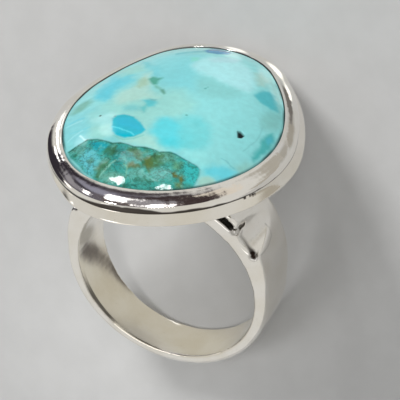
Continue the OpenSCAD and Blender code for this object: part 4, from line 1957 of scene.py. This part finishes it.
CARDS = (
    Card("pale card in the finger hole", -2.5, -8.0, 5.0, 2.5, (0.58, 0.565, 0.505)),
    Card("grey card beyond the dark card", -8.9, -7.4, 1.5, 0.6, (0.33, 0.32, 0.29)),
    Card("dark card in the finger hole", -6.5, -7.4, 1.15, 0.6, (0.13, 0.118, 0.11)),
    Card("bright card under the band's far edge", -2.8, -11.3, 0.5, 0.3, (1.3, 1.3, 1.3)),
    Card("grey card behind the right rim", 10.5, 26.5, 5.5, 2.5, (0.36, 0.345, 0.31)),
    Card("grey card farther back", 14.0, 38.0, 7.5, 3.0, (0.38, 0.365, 0.33)),
    Card("dark card at the far rim", 6.0, 22.5, 3.2, 1.0, (0.16, 0.15, 0.14)),
    Card("bright card at the far rim", 3.0, 17.3, 1.4, 0.5, (1.4, 1.4, 1.33)),
    Card("bright card at the right rim", 5.9, 18.6, 1.4, 0.5, (1.4, 1.4, 1.33)),
    Card("bright card behind the rim", -2.0, 17.0, 1.1, 0.5, (1.3, 1.3, 1.25)),
    Card("bright card on the left", -36.5, 39.0, 4.6, 1.5, (1.25, 1.25, 1.25)),
)
SOFT_BOXES = (
    SoftBox("key_window", -41.0, 34.0, 0.42, 0.14, 0.14, 1.26),
    SoftBox("front_fill", 70.0, 62.0, 0.42, 0.3, 0.3, 0.3),
    SoftBox("finger_hole_fill", 178.0, 62.0, 0.027, 0.01, 0.01, 0.0017, target=(-0.0045, -0.005, 0.0)),
)


@dataclass(frozen=True)
class Studio:
    """Plain pale floor, the surroundings that the metal mirrors, and soft lights; lengths in metres."""

    floor_from: Pair = (-0.04, -0.12)
    floor_to: Pair = (0.12, 0.042)
    floor_colour: str = "#C4C4C3"
    floor_roughness: float = 0.9
    mottle_colour: str = "#A2A2A0"
    mottle_scale: float = 0.35
    mottle_share: float = 0.12
    lift: Triple = (0.055, 0.055, 0.053)
    room: Triple = (0.72, 0.715, 0.69)
    room_fill: Triple = (0.335, 0.335, 0.332)
    seen_room: Triple = (0.52, 0.52, 0.515)

    def build(self) -> None:
        """Builds floor, surroundings and lights."""
        bpy.context.scene.view_settings.view_transform = "Standard"
        self.build_floor()
        self.build_room()
        for box in SOFT_BOXES:
            box.build()

    def build_floor(self) -> None:
        """Lays the plain pale floor under the ring."""
        (x0, y0), (x1, y1) = self.floor_from, self.floor_to
        mesh = bpy.data.meshes.new("studio_floor")
        mesh.from_pydata([(x0, y0, 0.0), (x1, y0, 0.0), (x1, y1, 0.0), (x0, y1, 0.0)], [], [(0, 1, 2, 3)])
        floor = bpy.data.objects.new("studio_floor", mesh)
        bpy.context.scene.collection.objects.link(floor)
        material, nodes, shader = new_material("plain_floor")
        place = millimetres(nodes)
        mottling = nodes.noise("mottling", place, self.mottle_scale, 6.0)
        share = nodes.spread(mottling.outputs["Fac"], 0.3, 0.7, 0.0, self.mottle_share, "faint mottling")
        tone = nodes.blend(share, opaque(self.floor_colour), opaque(self.mottle_colour), "floor tone")
        glow, cover = self.card_glow(nodes, place)
        mirrored = nodes.add("ShaderNodeLightPath", "kind of ray").outputs["Is Glossy Ray"]
        hidden = nodes.math("MULTIPLY", cover, mirrored, "cards hide the floor")
        nodes.join(nodes.blend(hidden, tone, BLACK, "floor or card"), shader.inputs["Base Color"])
        shown = nodes.blend(mirrored, BLACK, glow, "seen by the metal only")
        nodes.join(shown, shader.inputs["Emission Color"])
        shader.inputs["Emission Strength"].default_value = 1.0
        shader.inputs["Roughness"].default_value = self.floor_roughness
        mesh.materials.append(material)

    def card_glow(self, nodes: Nodes, place: Socket) -> tuple[Socket, object]:
        """Adds the glow of the reflector cards.

        Args:
            nodes: The floor material's tree.
            place: Output that gives the place on the floor in millimetres.

        Returns:
            The glow's colour and how far cards cover the floor.
        """
        glow: object = (*self.lift, 1.0)
        cover: object = 0.0
        for card in CARDS:
            reach = nodes.add("ShaderNodeVectorMath", card.name, operation="DISTANCE")
            reach.inputs[1].default_value = (card.x, card.y, 0.0)
            nodes.join(place, reach.inputs[0])
            share = nodes.spread(reach.outputs["Value"], max(0.0, card.radius - card.soft),
                                 card.radius + card.soft, 1.0, 0.0, card.name)
            glow = nodes.blend(share, glow, (*card.colour, 1.0), card.name)
            cover = nodes.math("MAXIMUM", share, cover, "cover")
        return glow, cover

    def build_room(self) -> None:
        """Gives the surroundings an even glow with the regions that the metal mirrors."""
        world = bpy.data.worlds.new("studio_room")
        bpy.context.scene.world = world
        world.use_nodes = True
        nodes = Nodes(world.node_tree)
        background = next(n for n in world.node_tree.nodes if n.type == "BACKGROUND")
        direction = nodes.add("ShaderNodeTexCoord", "direction")
        colour: object = (*self.room, 1.0)
        for region in REGIONS:
            for azimuth, elevation, radius, soft in region.spots:
                towards = nodes.add("ShaderNodeVectorMath", region.name, operation="DOT_PRODUCT")
                towards.inputs[1].default_value = facing(azimuth, elevation)
                nodes.join(direction.outputs["Generated"], towards.inputs[0])
                outer, inner = (math.cos(math.radians(max(0.0, radius + side * soft))) for side in (1, -1))
                share = nodes.spread(towards.outputs["Value"], outer, inner, 0.0, 1.0, region.name)
                colour = nodes.blend(share, colour, (*region.colour, 1.0), region.name)
        path = nodes.add("ShaderNodeLightPath", "kind of ray")
        soft = nodes.blend(path.outputs["Is Diffuse Ray"], colour, (*self.room_fill, 1.0), "even fill")
        shown = nodes.blend(path.outputs["Is Camera Ray"], soft, (*self.seen_room, 1.0), "plain backdrop")
        nodes.join(shown, background.inputs["Color"])


# the whole ring


@dataclass
class TurquoiseRing:
    """The ring as it lies: shank, head and stone."""

    sizes: HeadSizes = field(default_factory=HeadSizes)
    place: RestingPlace = field(default_factory=RestingPlace)
    camera: PhotoCamera = field(default_factory=PhotoCamera)

    def build(self) -> list[bpy.types.Object]:
        """Builds the pieces in order.

        Returns:
            Shank, head and stone.
        """
        band = SilverFinish("shank_silver", roughness=0.1, smudge=0.07)
        bezel = SilverFinish("bezel_silver", roughness=0.035, smudge=0.03, wave_height=0.012,
                             dimple_height=0.0018)
        return [
            Shank(self.sizes, self.place, band).build(),
            BezelHead(self.sizes, self.place, bezel).build(),
            Cabochon(self.sizes, self.place, self.camera, TurquoiseFinish("polished_turquoise")).build(),
        ]


def main() -> None:
    """Sets the camera and the studio, builds the ring and logs its pieces."""
    logging.basicConfig(level=logging.INFO, format="%(name)s: %(message)s")
    ring = TurquoiseRing()
    ring.camera.build(ring.place)
    Studio().build()
    pieces = ring.build()
    LOG.info("built %s", ", ".join(piece.name for piece in pieces))


if __name__ == "__main__":
    main()
